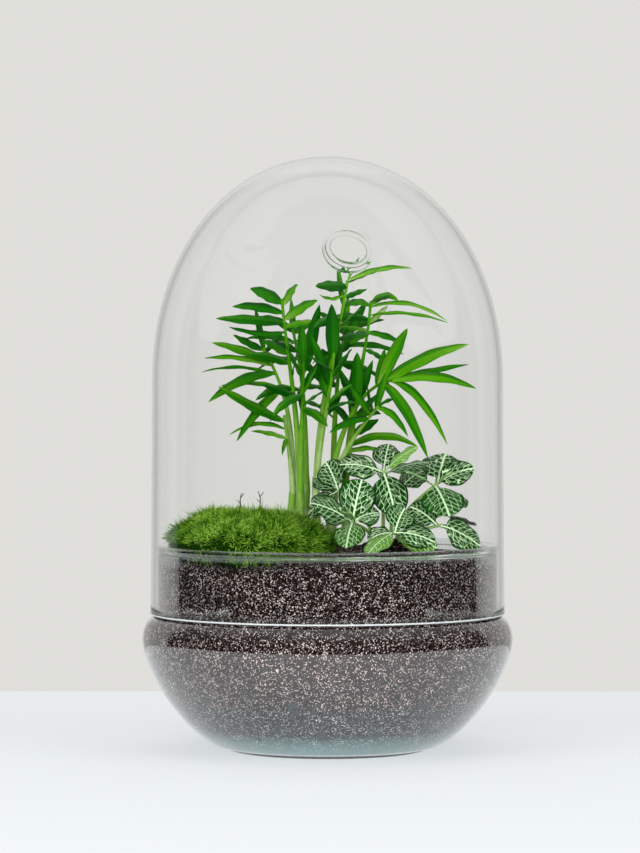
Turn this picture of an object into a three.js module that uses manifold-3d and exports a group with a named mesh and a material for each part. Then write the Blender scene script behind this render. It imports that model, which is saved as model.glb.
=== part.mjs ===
// A closed glass terrarium, modelled in millimetres with +Z up and its origin under the middle of the foot.
// A shallow glass bowl holds drainage gravel and potting soil. A tall glass dome with a small vent stands on
// the bowl's shoulder, over a moss cushion, a clump of parlour palm seedlings and a nerve plant.
import * as THREE from "three";
import { mergeVertices } from "three/addons/utils/BufferGeometryUtils.js";
import Module from "manifold-3d";

// Glassware, from the whole height of 300 and the widest diameter of 188.
const FACETS = 36;
const FOOT_RADIUS = 50;
const BOWL_RADIUS = 94;
const BOWL_WAIST_Z = 55.5;
const BOWL_CURVE = 1.5;
const BOWL_FLOOR = 4.5;
const SHOULDER_RISE = 13;
const COLLAR_RADIUS = 86;
const COLLAR_WALL = 3;
const COLLAR_TOP_Z = 104;
const RIM_BEAD = 2;
const DOME_RADIUS = 88.9;
const DOME_FLARE = 0.9;
const DOME_WALL = 2.6;
const DOME_FOOT_Z = 68.4;
const DOME_SPRING_Z = 186;
const DOME_TOP_Z = 300;
const DOME_CURVE = 2.08;
const VENT_CENTRE = new THREE.Vector3(10, -72, 251.5);
const VENT_AZIMUTH = -76;
const VENT_ELEVATION = 39;
const VENT_RING_RADIUS = 10;
const VENT_BEAD = 1.8;

// What fills the bowl.
const CLEARANCE = 0.3;
const GRAVEL_TOP_Z = 25;
const GRAVEL_RINGS = [70, 46, 22];
const SOIL_EDGE_Z = 97.5;
const SOIL_CROWN = 4.5;
const PALM_ROOT = { x: -4, y: 16, radius: 19, topZ: 108, floorZ: 62 };
const NERVE_ROOT = { x: 30, y: -14, radius: 15, topZ: 107, floorZ: 64 };
const MOSS = { x: -41, y: -31, halfX: 40, halfY: 34, topZ: 124, lipZ: 109 };

// How close a leaf may come to another one, to a stem and to the dome.
const PALM_GAP = 2.6;
const NERVE_GAP = 2.4;
const DOME_GAP = 2.5;
const BLADE_STEPS = 20;

// How far the tip of a leaf may move back or forward, and up or down, to come clear.
const LEAF_SHIFTS = [0, 4, -4, 8, -8, 12, -12, 16, -16];
const LEAF_LIFTS = [0, 3, -3];

const wasm = await Module();
wasm.setup();

const radians = THREE.MathUtils.degToRad;
const vector = (x, y, z) => new THREE.Vector3(x, y, z);
const UP = vector(0, 0, 1);

/** A number from 0 to 1 that is always the same for the same two whole numbers. */
function chance(i, j) {
  const value = Math.sin(i * 12.9898 + j * 78.233) * 43758.5453;
  return value - Math.floor(value);
}

/** A closed geometry as a manifold-3d solid. */
function solid(geometry) {
  const bare = geometry.index ? geometry.clone() : geometry;
  for (const name of Object.keys(bare.attributes)) {
    if (name !== "position") bare.deleteAttribute(name);
  }
  const merged = mergeVertices(bare, 1e-4);
  const vertProperties = merged.attributes.position.array;
  const triVerts = new Uint32Array(merged.index.array);
  return new wasm.Manifold(new wasm.Mesh({ numProp: 3, vertProperties, triVerts }));
}

/** A manifold-3d solid as a named mesh. */
function meshOf(name, body, material) {
  const { vertProperties, triVerts } = body.getMesh();
  const geometry = new THREE.BufferGeometry();
  geometry.setAttribute("position", new THREE.BufferAttribute(vertProperties, 3));
  geometry.setIndex(new THREE.BufferAttribute(triVerts, 1));
  geometry.computeVertexNormals();
  const mesh = new THREE.Mesh(geometry, material);
  mesh.name = name;
  return mesh;
}

/** Joins a list of overlapping solids. */
const joined = (bodies) => bodies.reduce((whole, body) => whole.add(body));

/**
 * A closed skin over rings of points, each ring anticlockwise about the way that the rings run. A ring of one
 * point closes to that point. Diagonals alternate, so that the two faces of a thin blade are split alike.
 */
function loft(rings) {
  const positions = [];
  const index = [];
  const starts = rings.map((ring) => {
    const start = positions.length / 3;
    for (const p of ring) positions.push(p.x, p.y, p.z);
    return start;
  });
  for (let i = 0; i + 1 < rings.length; i++) {
    const sides = Math.max(rings[i].length, rings[i + 1].length);
    for (let j = 0; j < sides; j++) {
      const k = (j + 1) % sides;
      const a = starts[i];
      const b = starts[i + 1];
      if (rings[i].length === 1) index.push(a, b + k, b + j);
      else if (rings[i + 1].length === 1) index.push(a + j, a + k, b);
      else if (j % 2) index.push(a + j, a + k, b + j, a + k, b + k, b + j);
      else index.push(a + j, a + k, b + k, a + j, b + k, b + j);
    }
  }
  const last = starts[starts.length - 1];
  for (let j = 1; j + 1 < rings[0].length; j++) index.push(0, j + 1, j);
  for (let j = 1; j + 1 < rings[rings.length - 1].length; j++) index.push(last, last + j, last + j + 1);
  const geometry = new THREE.BufferGeometry();
  geometry.setAttribute("position", new THREE.Float32BufferAttribute(positions, 3));
  geometry.setIndex(index);
  return geometry;
}

/** A solid of revolution about Z, from a closed profile of [radius, height] points that runs anticlockwise. */
function turned(profile) {
  const points = [...profile, profile[0]].map(([r, z]) => new THREE.Vector2(r, z));
  return solid(new THREE.LatheGeometry(points, FACETS).rotateX(Math.PI / 2));
}

/** Points of a quarter of a superellipse, from its side at angle 0 to its end at angle 90. */
function quarter(centreR, centreZ, reachR, reachZ, power, steps, from = 0, to = 90) {
  return Array.from({ length: steps + 1 }, (_, i) => {
    const angle = radians(from + ((to - from) * i) / steps);
    const r = centreR + reachR * Math.abs(Math.cos(angle)) ** (2 / power);
    const z = centreZ + reachZ * Math.abs(Math.sin(angle)) ** (2 / power);
    return [r, z];
  });
}

/** The bowl's inside from its collar down to the edge of its floor, as [radius, height] points. */
function bowlLining() {
  const collar = COLLAR_RADIUS - COLLAR_WALL;
  const floor = FOOT_RADIUS - COLLAR_WALL;
  const swell = BOWL_RADIUS - COLLAR_RADIUS;
  return [
    [collar, COLLAR_TOP_Z],
    [collar, BOWL_WAIST_Z + SHOULDER_RISE - 1],
    ...quarter(collar, BOWL_WAIST_Z, swell, SHOULDER_RISE - COLLAR_WALL, 2, 2, 80, 20),
    ...quarter(floor, BOWL_WAIST_Z, collar + swell - floor, BOWL_FLOOR - BOWL_WAIST_Z, BOWL_CURVE, 6, 0, 90),
  ];
}

/** The radius of the bowl's inside at a height. */
function bowlInside(z) {
  const lining = bowlLining();
  for (let i = 0; i + 1 < lining.length; i++) {
    const [upperR, upperZ] = lining[i];
    const [lowerR, lowerZ] = lining[i + 1];
    if (z >= lowerZ) return lowerR + ((upperR - lowerR) * (z - lowerZ)) / (upperZ - lowerZ);
  }
  return FOOT_RADIUS - COLLAR_WALL;
}

/** The radius of the dome's inside at a height. */
function domeInside(z) {
  const inner = DOME_RADIUS - DOME_WALL;
  if (z < DOME_SPRING_Z) return inner;
  const share = (z - DOME_SPRING_Z) / (DOME_TOP_Z - DOME_WALL - DOME_SPRING_Z);
  return share < 1 ? inner * (1 - share ** DOME_CURVE) ** (1 / DOME_CURVE) : 0;
}

/** The bowl: a flat foot, a wall that swells to the waist, a round shoulder and an upright collar with a bead. */
function bowl() {
  const beadR = COLLAR_RADIUS - COLLAR_WALL / 2 + 0.1;
  const beadZ = COLLAR_TOP_Z - RIM_BEAD;
  const bead = [-35, 15, 60, 105, 150, 205].map((angle) => [
    beadR + RIM_BEAD * Math.cos(radians(angle)),
    beadZ + RIM_BEAD * Math.sin(radians(angle)),
  ]);
  const swell = BOWL_RADIUS - COLLAR_RADIUS;
  return turned([
    [0, 0],
    ...quarter(FOOT_RADIUS, BOWL_WAIST_Z, BOWL_RADIUS - FOOT_RADIUS, -BOWL_WAIST_Z, BOWL_CURVE, 7, 90, 0),
    ...quarter(COLLAR_RADIUS, BOWL_WAIST_Z, swell, SHOULDER_RISE, 2, 3, 24, 84),
    [COLLAR_RADIUS, BOWL_WAIST_Z + SHOULDER_RISE + 3],
    ...bead,
    ...bowlLining().slice(1),
    [0, BOWL_FLOOR],
  ]);
}

/** The dome: a tall bell with a thickened foot, and a vent whose edge is rolled into a glass ring. */
function dome() {
  const footR = DOME_RADIUS + DOME_FLARE;
  const inner = DOME_RADIUS - DOME_WALL;
  const foot = [
    [inner + DOME_FLARE, DOME_FOOT_Z + 1],
    [inner + DOME_FLARE + 0.9, DOME_FOOT_Z],
    [footR - 0.6, DOME_FOOT_Z],
    [footR + 0.2, DOME_FOOT_Z + 1],
    [footR, DOME_FOOT_Z + 4],
  ];
  const capOut = quarter(0, DOME_SPRING_Z, DOME_RADIUS, DOME_TOP_Z - DOME_SPRING_Z, DOME_CURVE, 9);
  const capIn = quarter(0, DOME_SPRING_Z, inner, DOME_TOP_Z - DOME_WALL - DOME_SPRING_Z, DOME_CURVE, 7, 90, 0);
  const bell = turned([
    ...foot,
    ...capOut.slice(0, -1),
    [0, DOME_TOP_Z],
    [0, DOME_TOP_Z - DOME_WALL],
    ...capIn.slice(1),
  ]);
  const level = Math.cos(radians(VENT_ELEVATION));
  const outward = vector(
    Math.cos(radians(VENT_AZIMUTH)) * level,
    Math.sin(radians(VENT_AZIMUTH)) * level,
    Math.sin(radians(VENT_ELEVATION)),
  );
  const turn = new THREE.Quaternion().setFromUnitVectors(UP, outward);
  const placed = (geometry) => geometry.applyQuaternion(turn).translate(...VENT_CENTRE.toArray());
  const drill = placed(new THREE.CylinderGeometry(9.4, 9.4, 24, 18).rotateX(Math.PI / 2));
  const ring = placed(new THREE.TorusGeometry(VENT_RING_RADIUS, VENT_BEAD, 7, 18));
  return bell.subtract(solid(drill)).add(solid(ring));
}

/** A ring of points about the axis. radiusAt and heightAt take the angle. */
function ringAround(radiusAt, heightAt) {
  return Array.from({ length: FACETS }, (_, i) => {
    const angle = (i * 2 * Math.PI) / FACETS;
    const r = radiusAt(angle);
    const x = r * Math.sin(angle);
    const y = -r * Math.cos(angle);
    return vector(x, y, heightAt(x, y));
  });
}

/** The height of the gravel's top. */
function gravelTop(x, y) {
  return GRAVEL_TOP_Z + 1.5 * Math.sin(x / 17 + y / 23) + 0.8 * Math.sin(y / 15);
}

/** The height of the soil's top: a low mound, with a dip at the front left where the moss lies. */
function soilTop(x, y) {
  const share = Math.hypot(x, y) / (COLLAR_RADIUS - COLLAR_WALL);
  const dip = 3.2 * Math.exp(-((x + 42) ** 2 + (y + 66) ** 2) / 500);
  const heap = 2.6 * Math.exp(-((x - 62) ** 2 + (y + 40) ** 2) / 420);
  const lumps = 0.5 * Math.sin(x / 6.1 + 1) * Math.cos(y / 5.3);
  return SOIL_EDGE_Z + SOIL_CROWN * (1 - share * share) - dip + heap + lumps;
}

/** Gravel: pebbles that fill the bottom of the bowl, their round backs against the glass. */
function gravel() {
  const pebbled = (z) => (angle) =>
    bowlInside(z) - CLEARANCE - 1.1 * Math.abs(Math.sin(angle * 9 + z / 2)) * Math.min(1, (z - 5) / 4);
  return solid(
    loft([
      [vector(0, 0, BOWL_FLOOR + CLEARANCE)],
      ringAround(() => FOOT_RADIUS - COLLAR_WALL - 1, () => BOWL_FLOOR + CLEARANCE),
      ...[7.5, 11.5, 15.5, 19.5].map((z) => ringAround(pebbled(z), () => z)),
      ...GRAVEL_RINGS.map((radius) => ringAround(() => radius, gravelTop)),
      [vector(0, 0, gravelTop(0, 0))],
    ]),
  );
}

/** A root ball: the plug of peat that a plant comes in, a little wider at its top, which is rounded. */
function rootBall(place, grow = 0) {
  const { x, y, radius, topZ, floorZ } = place;
  const lift = grow ? 12 : 0;
  const profile = [
    [0, floorZ - grow],
    [radius * 0.74 + grow, floorZ - grow],
    [radius + grow, topZ - 9],
    [radius * 0.9 + grow, topZ - 3.5 + lift],
    [radius * 0.5, topZ - 0.6 + lift],
    [0, topZ + lift],
  ];
  const points = [...profile, profile[0]].map(([r, z]) => new THREE.Vector2(r, z));
  return solid(new THREE.LatheGeometry(points, 14).rotateX(Math.PI / 2).translate(x, y, 0));
}

/** Soil: fills the bowl from the gravel to the collar, with a pocket for each root ball. */
function soil() {
  const wall = (z) => () => bowlInside(z) - CLEARANCE;
  const under = (x, y) => gravelTop(x, y) + 0.5;
  const heights = bowlLining().map(([, z]) => z).filter((z) => z > GRAVEL_TOP_Z + 3 && z < COLLAR_TOP_Z).reverse();
  const mass = loft([
    [vector(0, 0, under(0, 0))],
    ...[...GRAVEL_RINGS].reverse().map((radius) => ringAround(() => radius, under)),
    ...heights.map((z) => ringAround(wall(z), () => z)),
    ...[1, 0.82, 0.56, 0.28].map((share) => ringAround((angle) => wall(90)(angle) * share, soilTop)),
    [vector(0, 0, soilTop(0, 0))],
  ]);
  return solid(mass).subtract(rootBall(PALM_ROOT, CLEARANCE)).subtract(rootBall(NERVE_ROOT, CLEARANCE));
}

/** How far the moss reaches from its middle in a direction, inside a circle about the terrarium's axis. */
function mossReach(angle, circle) {
  const x = Math.cos(angle);
  const y = Math.sin(angle);
  const oval = 1 / Math.hypot(x / MOSS.halfX, y / MOSS.halfY);
  const along = MOSS.x * x + MOSS.y * y;
  const toCircle = -along + Math.sqrt(along * along - (MOSS.x ** 2 + MOSS.y ** 2 - circle ** 2));
  return Math.min(oval * (1 + 0.05 * Math.sin(3 * angle + 1)), toCircle);
}

/** How far the moss's back rises over its lip, at a share of the way from its middle to its edge. */
const mossRise = (share) => (MOSS.topZ - MOSS.lipZ - 2) * (1 - share ** 2.6) ** 0.72;

/** Moss: a cushion that lies on the soil, its edge curled up and its back raised in pointed tufts. */
function moss() {
  const count = 34;
  const ring = (share, circle, heightAt) =>
    Array.from({ length: count }, (_, i) => {
      const angle = (i * 2 * Math.PI) / count;
      const reach = mossReach(angle, circle) * share;
      const x = MOSS.x + reach * Math.cos(angle);
      const y = MOSS.y + reach * Math.sin(angle);
      return vector(x, y, heightAt(x, y, i));
    });
  const under = (x, y) => soilTop(x, y) + 1;
  const rows = [1, 0.93, 0.84, 0.74, 0.63, 0.51, 0.38, 0.24, 0.12];
  const back = rows.map((share, row) =>
    ring(share, 84, (x, y, i) => {
      const tuft = (i + row) % 2 ? 2.1 * (0.6 + 0.4 * chance(i, row)) : -0.4;
      return MOSS.lipZ + mossRise(share) + tuft + 1.2 * Math.sin(x / 7) * Math.cos(y / 8);
    }),
  );
  return solid(
    loft([
      [vector(MOSS.x, MOSS.y, under(MOSS.x, MOSS.y))],
      ...[0.3, 0.6, 0.88].map((share) => ring(share, 81, under)),
      ring(0.95, 81.2, (x, y) => under(x, y) + 3),
      ring(1, 82, () => MOSS.lipZ - 4.5),
      ...back,
      [vector(MOSS.x, MOSS.y, MOSS.topZ)],
    ]),
  );
}

/** A round tapered stick between two points, with the two radii. */
function stick(from, to, radiusFrom, radiusTo, sides = 6) {
  const along = to.clone().sub(from);
  const geometry = new THREE.CylinderGeometry(radiusTo, radiusFrom, along.length(), sides).rotateX(Math.PI / 2);
  const turn = new THREE.Quaternion().setFromUnitVectors(UP, along.clone().normalize());
  const middle = from.clone().add(to).multiplyScalar(0.5);
  return solid(geometry.applyQuaternion(turn).translate(middle.x, middle.y, middle.z));
}

/** A point of a cubic Bezier curve and its unit tangent. */
function onCurve([a, b, c, d], t) {
  const s = 1 - t;
  const point = a
    .clone()
    .multiplyScalar(s * s * s)
    .addScaledVector(b, 3 * s * s * t)
    .addScaledVector(c, 3 * s * t * t)
    .addScaledVector(d, t * t * t);
  const tangent = b
    .clone()
    .sub(a)
    .multiplyScalar(s * s)
    .addScaledVector(c.clone().sub(b), 2 * s * t)
    .addScaledVector(d.clone().sub(c), t * t)
    .normalize();
  return { point, tangent };
}

/** A four-sided stalk along a Bezier curve that stays in one upright plane, whose level normal is side. */
function stalk(curve, side, radiusFrom, radiusTo, steps) {
  const rings = Array.from({ length: steps + 1 }, (_, i) => {
    const t = i / steps;
    const { point, tangent } = onCurve(curve, t);
    const across = side.clone().addScaledVector(tangent, -side.dot(tangent)).normalize();
    const other = tangent.clone().cross(across);
    const radius = radiusFrom + (radiusTo - radiusFrom) * Math.min(1, t * 1.25);
    return [45, 135, 225, 315].map((angle) =>
      point
        .clone()
        .addScaledVector(across, radius * Math.cos(radians(angle)))
        .addScaledVector(other, radius * Math.sin(radians(angle))),
    );
  });
  return solid(loft(rings));
}

/** How wide a palm leaflet is at a share of its length, as a share of its greatest width. */
const lanceShape = (s) => Math.max(0.3 * (1 - s), 2.42 * s ** 0.55 * (1 - s) ** 0.75);

/** The same for a nerve plant's leaf: a thin stalk for a seventh of the length, then an egg shape. */
function eggShape(s) {
  const u = (s - 0.14) / 0.86;
  return u <= 0 ? 0.13 : Math.max(0.13 * (1 - u), 2.2 * u ** 0.52 * (1 - u) ** 0.62);
}

/**
 * The middle line of a blade that curves from its root to its tip, arched up over its middle. facing is the way
 * that its upper side turns. Each of the line's points has the direction, the way across and the normal there.
 */
function midline(root, tip, arch, facing) {
  const over = root.clone().add(tip).multiplyScalar(0.5).addScaledVector(UP, 2 * arch);
  return Array.from({ length: BLADE_STEPS + 1 }, (_, i) => {
    const s = i / BLADE_STEPS;
    const point = root
      .clone()
      .multiplyScalar((1 - s) * (1 - s))
      .addScaledVector(over, 2 * s * (1 - s))
      .addScaledVector(tip, s * s);
    const along = over
      .clone()
      .sub(root)
      .multiplyScalar(1 - s)
      .addScaledVector(tip.clone().sub(over), s)
      .normalize();
    const across = facing.clone().cross(along).normalize();
    return { point, along, across, normal: along.clone().cross(across), s };
  });
}

/** Points of a blade that other leaves keep clear of: its middle line, its edges and between. */
function outline(line, width, shape) {
  const found = [];
  for (const { point, across, s } of line) {
    if (s < 0.08) continue;
    const half = (width / 2) * shape(s);
    const places = half > 2.6 ? [-1, -0.5, 0, 0.5, 1] : [-1, 0, 1];
    for (const place of half > 1 ? places : [0]) {
      found.push({ spot: point.clone().addScaledVector(across, half * place), s });
    }
  }
  return found;
}

/** The solid blade: sections with the rib on top, whose two edges hang below it by the thickness. */
function bladeSolid(line, width, shape, thickness, stations) {
  const rings = stations.map((i) => {
    const { point, across, normal, s } = line[i];
    const half = (width / 2) * shape(s);
    const drop = thickness * (1 - 0.3 * s);
    return [
      point.clone().addScaledVector(across, half).addScaledVector(normal, -drop),
      point.clone(),
      point.clone().addScaledVector(across, -half).addScaledVector(normal, -drop),
    ];
  });
  rings.push([line[BLADE_STEPS].point.clone().addScaledVector(line[BLADE_STEPS].normal, -0.4)]);
  return solid(loft(rings));
}

// Points of every stalk and leaf that has been placed, with their plant's name.
const taken = [];

/**
 * True if a leaf of a plant is inside the dome, above the soil and clear of what has been placed. Near its own
 * root it may touch its own plant.
 */
function isClear(points, gap, owner) {
  for (const { spot, s } of points) {
    const reach = Math.hypot(spot.x, spot.y);
    if (reach > domeInside(spot.z) - DOME_GAP) return false;
    if (spot.z < COLLAR_TOP_Z + 2 && reach > 80) return false;
    if (spot.z < soilTop(spot.x, spot.y) + 1.5) return false;
    const share = Math.hypot((spot.x - MOSS.x) / (MOSS.halfX + 3), (spot.y - MOSS.y) / (MOSS.halfY + 3));
    if (share < 1 && spot.z < MOSS.lipZ + 6 + mossRise(share)) return false;
    for (const other of taken) {
      if (other.owner === owner && s < 0.3) continue;
      if (spot.distanceToSquared(other.spot) < gap * gap) return false;
    }
  }
  return true;
}

/** The middle line of the first clear place of a leaf, whose tip is moved a little. Null if no place is clear. */
function settled(owner, root, tip, arch, facing, width, shape, gap) {
  for (const lift of LEAF_LIFTS) {
    for (const shift of LEAF_SHIFTS) {
      const line = midline(root, tip.clone().add(vector(0, shift, lift)), arch, facing);
      const points = outline(line, width, shape);
      if (isClear(points, gap, owner)) {
        for (const { spot } of points) taken.push({ spot, owner });
        return line;
      }
    }
  }
  return null;
}

// Palm seedlings: each has a foot on its root ball, and fronds given by the tip of the stalk and the angle at
// which it rises there. A leaflet has its place as a share of the stalk, its tip, its width and its arch.
const PALM_SHEATH = 2.3;
const PALM_FACING = vector(0, -0.8, 0.6);
const PALMS = [
  {
    name: "palm_front_left",
    foot: [-14, 6],
    fronds: [
      {
        tip: [-23, -6, 228],
        rise: 82,
        leaflets: [
          [0.98, [-39, -10, 233], 6.6, 1.5],
          [0.97, [-15, -15, 235], 4.6, 1.5],
          [0.93, [-48, -8, 224], 5.1, 2],
          [0.88, [-56, -14, 218], 5.6, 1],
          [0.83, [-50, 0, 214], 3, -1.5],
          [0.9, [-5, -16, 227], 6.1, 1.5],
          [0.86, [-7, -6, 217], 3.5, 0.5],
          [0.75, [-14, -14, 207], 2.5, 1],
          [0.71, [-33, -12, 207], 5.1, 1],
          [0.66, [-40, -16, 200], 5.6, 1.5],
          [0.59, [-15, -20, 203], 4.6, 0.5],
          [0.53, [-36, -18, 177], 4.6, 2.5],
        ],
      },
      {
        tip: [-12, -18, 196],
        rise: 84,
        leaflets: [
          [0.98, [-13, -22, 215], 4.6, 0],
          [0.93, [-4, -14, 225], 5.6, 0.5],
          [0.72, [-33, -26, 185], 4.6, 1],
          [0.83, [1, -20, 200], 4.1, 1],
          [0.78, [-5, -28, 195], 3.5, 0.5],
          [0.89, [-22, -26, 207], 4.6, 1],
          [0.77, [-27, -24, 170], 4.6, 2],
          [0.66, [0, -26, 164], 4.6, 2],
          [0.69, [-1, -34, 182], 4.6, 1],
        ],
      },
    ],
  },
  {
    name: "palm_middle",
    foot: [-6, 2],
    fronds: [
      {
        tip: [10, -14, 237],
        rise: 78,
        leaflets: [
          [1, [16, -14, 249], 1.5, 0.5],
          [1, [42, -22, 243], 3, 3],
          [0.99, [26, -6, 242], 2, 1],
          [0.98, [-6, -24, 234], 6.6, 0.5],
          [0.94, [-4, -10, 230], 2, -2],
          [0.88, [5, -22, 246], 2.5, 0],
          [0.92, [20, -4, 233], 3, 0.5],
          [0.82, [-7, -32, 213], 4.6, 2.5],
          [0.78, [17, -26, 223], 3, 0.5],
          [0.72, [21, -34, 210], 5.1, 1],
        ],
      },
      {
        tip: [3, -24, 201],
        rise: 84,
        leaflets: [
          [0.96, [2, -26, 225], 6.1, 0],
          [0.84, [12, -32, 203], 4.6, 1],
          [0.77, [-8, -30, 206], 4.6, 0.5],
          [0.64, [12, -34, 185], 4.1, 1.5],
          [0.68, [-5, -20, 193], 3.5, 0.5],
          [0.56, [8, -24, 183], 4.1, 0.5],
          [0.88, [-11, -38, 200], 5.1, 1],
          [0.6, [14, -42, 176], 4.6, 2],
        ],
      },
    ],
  },
  {
    name: "palm_front_right",
    foot: [1, 6],
    fronds: [
      {
        tip: [32, -14, 187],
        rise: 8,
        leaflets: [
          [0.88, [40, -18, 213], 6.1, 1.5],
          [0.91, [70, -24, 205], 6.6, 3.5],
          [0.95, [71, -8, 195], 3.5, 1],
          [0.98, [74, -16, 183], 5.6, 4.6],
          [0.92, [50, -28, 148], 5.1, 6.1],
          [0.99, [60, -16, 155], 4.1, 7.6],
          [0.86, [29, -4, 203], 3.5, 0.5],
        ],
      },
      {
        tip: [25, -22, 174],
        rise: 42,
        leaflets: [
          [0.98, [40, -28, 159], 3.5, 4.1],
          [0.85, [1, -30, 161], 4.1, 2],
          [0.96, [29, -30, 191], 3.5, 0.5],
          [0.89, [10, -32, 186], 3.5, 0.5],
          [0.93, [18, -38, 191], 4.6, 0.5],
          [0.99, [37, -14, 178], 2, 1.5],
        ],
      },
    ],
  },
  {
    name: "palm_right",
    foot: [9, 12],
    fronds: [
      {
        tip: [22, 6, 227],
        rise: 86,
        leaflets: [
          [0.98, [36, 2, 227], 4.1, 4.1],
          [0.97, [61, 12, 217], 2.5, 5.6],
          [0.93, [61, 0, 216], 2, 3],
          [0.84, [39, 8, 205], 3.5, 1.5],
          [1, [33, -8, 230], 2.5, 1],
          [0.91, [-7, -8, 213], 5.1, 3.5],
          [0.98, [9, -6, 224], 4.6, 2.5],
          [0.85, [6, 14, 214], 2.5, 0.5],
          [0.84, [11, -2, 205], 4.6, 1.5],
          [0.89, [31, 18, 225], 3, 0],
          [0.74, [30, 16, 195], 3, 2],
        ],
      },
      {
        tip: [15, 0, 180],
        rise: 84,
        leaflets: [
          [0.93, [15, -4, 201], 6.1, 0],
          [0.89, [23, 6, 197], 4.1, 0.5],
          [0.8, [27, -6, 170], 4.1, 1.5],
          [0.62, [26, 2, 167], 5.1, 0.5],
          [0.87, [6, 6, 193], 4.1, 0.5],
        ],
      },
    ],
  },
  {
    name: "palm_left",
    foot: [-17.5, 15],
    fronds: [
      {
        tip: [-33, 12, 203],
        rise: 58,
        leaflets: [
          [0.99, [-48, 8, 210], 4.1, 0],
          [0.9, [-59, 2, 206], 4.6, 1.5],
          [0.87, [-63, 14, 198], 3, 2.5],
          [0.8, [-64, 6, 191], 2, 3.5],
          [0.82, [-60, -4, 176], 5.6, 4.1],
          [0.71, [-55, 20, 184], 2.5, 2],
          [0.7, [-46, 0, 156], 4.6, 3.5],
          [0.98, [-37, 18, 224], 3, 0],
          [0.97, [-23, 20, 211], 3, 0.5],
        ],
      },
      {
        tip: [-22, 4, 169],
        rise: 74,
        leaflets: [
          [0.94, [-55, -6, 184], 5.6, -0.5],
          [0.84, [-50, 4, 159], 2.5, 4.6],
          [0.73, [-39, 12, 161], 2.5, 1],
          [0.74, [-23, -4, 149], 2, 1.5],
        ],
      },
    ],
  },
  {
    name: "palm_back_left",
    foot: [-11, 26],
    fronds: [
      {
        tip: [-18, 40, 213],
        rise: 62,
        leaflets: [
          [0.98, [-34, 50, 220], 4.1, 2],
          [0.97, [-3, 52, 217], 4.1, 2],
          [0.91, [-43, 46, 208], 3.5, 2.5],
          [0.87, [-6, 58, 201], 3.5, 2.5],
          [0.98, [-19, 56, 229], 3, 0],
          [0.8, [-37, 58, 192], 3.5, 3],
          [0.85, [-32, 44, 205], 4.6, 2],
          [0.76, [-4, 40, 189], 4.6, 2],
        ],
      },
      {
        tip: [-14, 46, 183],
        rise: 38,
        leaflets: [
          [0.96, [-34, 58, 176], 3.5, 3],
          [0.96, [1, 60, 180], 3.5, 3],
          [0.89, [-30, 50, 165], 3.5, 4.1],
          [0.96, [-14, 68, 170], 3.5, 4.1],
          [0.82, [5, 56, 165], 3, 3],
        ],
      },
    ],
  },
  {
    name: "palm_back_right",
    foot: [3, 27],
    fronds: [
      {
        tip: [13, 18, 166],
        rise: 84,
        leaflets: [
          [0.68, [46, 4, 153], 4.6, 6.1],
          [0.6, [28, 16, 151], 3, 2],
          [0.93, [1, 28, 176], 3.5, 1.5],
          [0.96, [27, 34, 180], 3.5, 1.5],
          [0.98, [12, 26, 190], 3.5, 0.5],
        ],
      },
      {
        tip: [9, 44, 212],
        rise: 62,
        leaflets: [
          [0.98, [-5, 54, 222], 4.1, 2],
          [0.98, [30, 58, 218], 4.1, 2.5],
          [0.9, [40, 50, 200], 3.5, 3],
          [0.86, [-8, 60, 195], 3.5, 3],
          [0.98, [11, 52, 231], 3, 0],
          [0.79, [34, 62, 183], 3.5, 3.5],
          [0.75, [1, 66, 179], 3.5, 3],
          [0.71, [-3, 34, 203], 4.6, 0.5],
          [0.75, [5, 30, 209], 4.6, 0],
          [0.86, [16, 36, 212], 4.1, 0.5],
          [0.63, [-8, 32, 189], 4.6, 1],
          [0.58, [18, 28, 182], 4.1, 1],
          [0.93, [20, 40, 224], 5.1, 0.5],
          [0.79, [21, 36, 190], 5.1, 1.5],
          [0.5, [-5, 28, 173], 4.1, 1],
        ],
      },
    ],
  },
];

/** The curve of a frond's stalk: upright at its foot, and bent over towards its tip. */
function frondCurve(foot, { tip, rise }) {
  const base = vector(foot[0], foot[1], PALM_ROOT.topZ + 10);
  const end = vector(...tip);
  const outward = vector(end.x - base.x, end.y - base.y, 0).normalize();
  const height = end.z - base.z;
  const curve = [
    base,
    base.clone().addScaledVector(UP, height * 0.5),
    end
      .clone()
      .addScaledVector(outward, -height * 0.32 * Math.cos(radians(rise)))
      .addScaledVector(UP, -height * 0.32 * Math.sin(radians(rise))),
    end,
  ];
  return { curve, outward };
}

/** Leaves room for every stalk before the first leaflet is placed. */
function reserveStalks() {
  for (const { name, foot, fronds } of PALMS) {
    for (const height of [0, 3, 6]) {
      taken.push({ spot: vector(foot[0], foot[1], PALM_ROOT.topZ + height), owner: name });
    }
    for (const spec of fronds) {
      const { curve } = frondCurve(foot, spec);
      for (let i = 0; i <= 40; i++) taken.push({ spot: onCurve(curve, i / 41).point, owner: name });
    }
  }
}

/** One frond: its stalk and its leaflets. */
function frond(owner, foot, spec) {
  const { curve, outward } = frondCurve(foot, spec);
  const side = vector(-outward.y, outward.x, 0);
  const pieces = [stalk(curve, side, PALM_SHEATH * 0.8, 1, 6)];
  for (const [share, tip, width, arch] of spec.leaflets) {
    const { point } = onCurve(curve, share);
    const line = settled(owner, point, vector(...tip), arch, PALM_FACING, width, lanceShape, PALM_GAP);
    if (line) pieces.push(bladeSolid(line, width, lanceShape, 1, [0, 4, 9, 14]));
  }
  return joined(pieces);
}

/** One palm seedling: a sheath that stands in its root ball, and the fronds that leave it. */
function palm({ name, foot, fronds }) {
  const from = vector(foot[0], foot[1], PALM_ROOT.topZ - 12);
  const to = vector(foot[0], foot[1], PALM_ROOT.topZ + 20);
  const sheath = stick(from, to, PALM_SHEATH, 1.9);
  return joined([sheath, ...fronds.map((spec) => frond(name, foot, spec))]);
}

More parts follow.
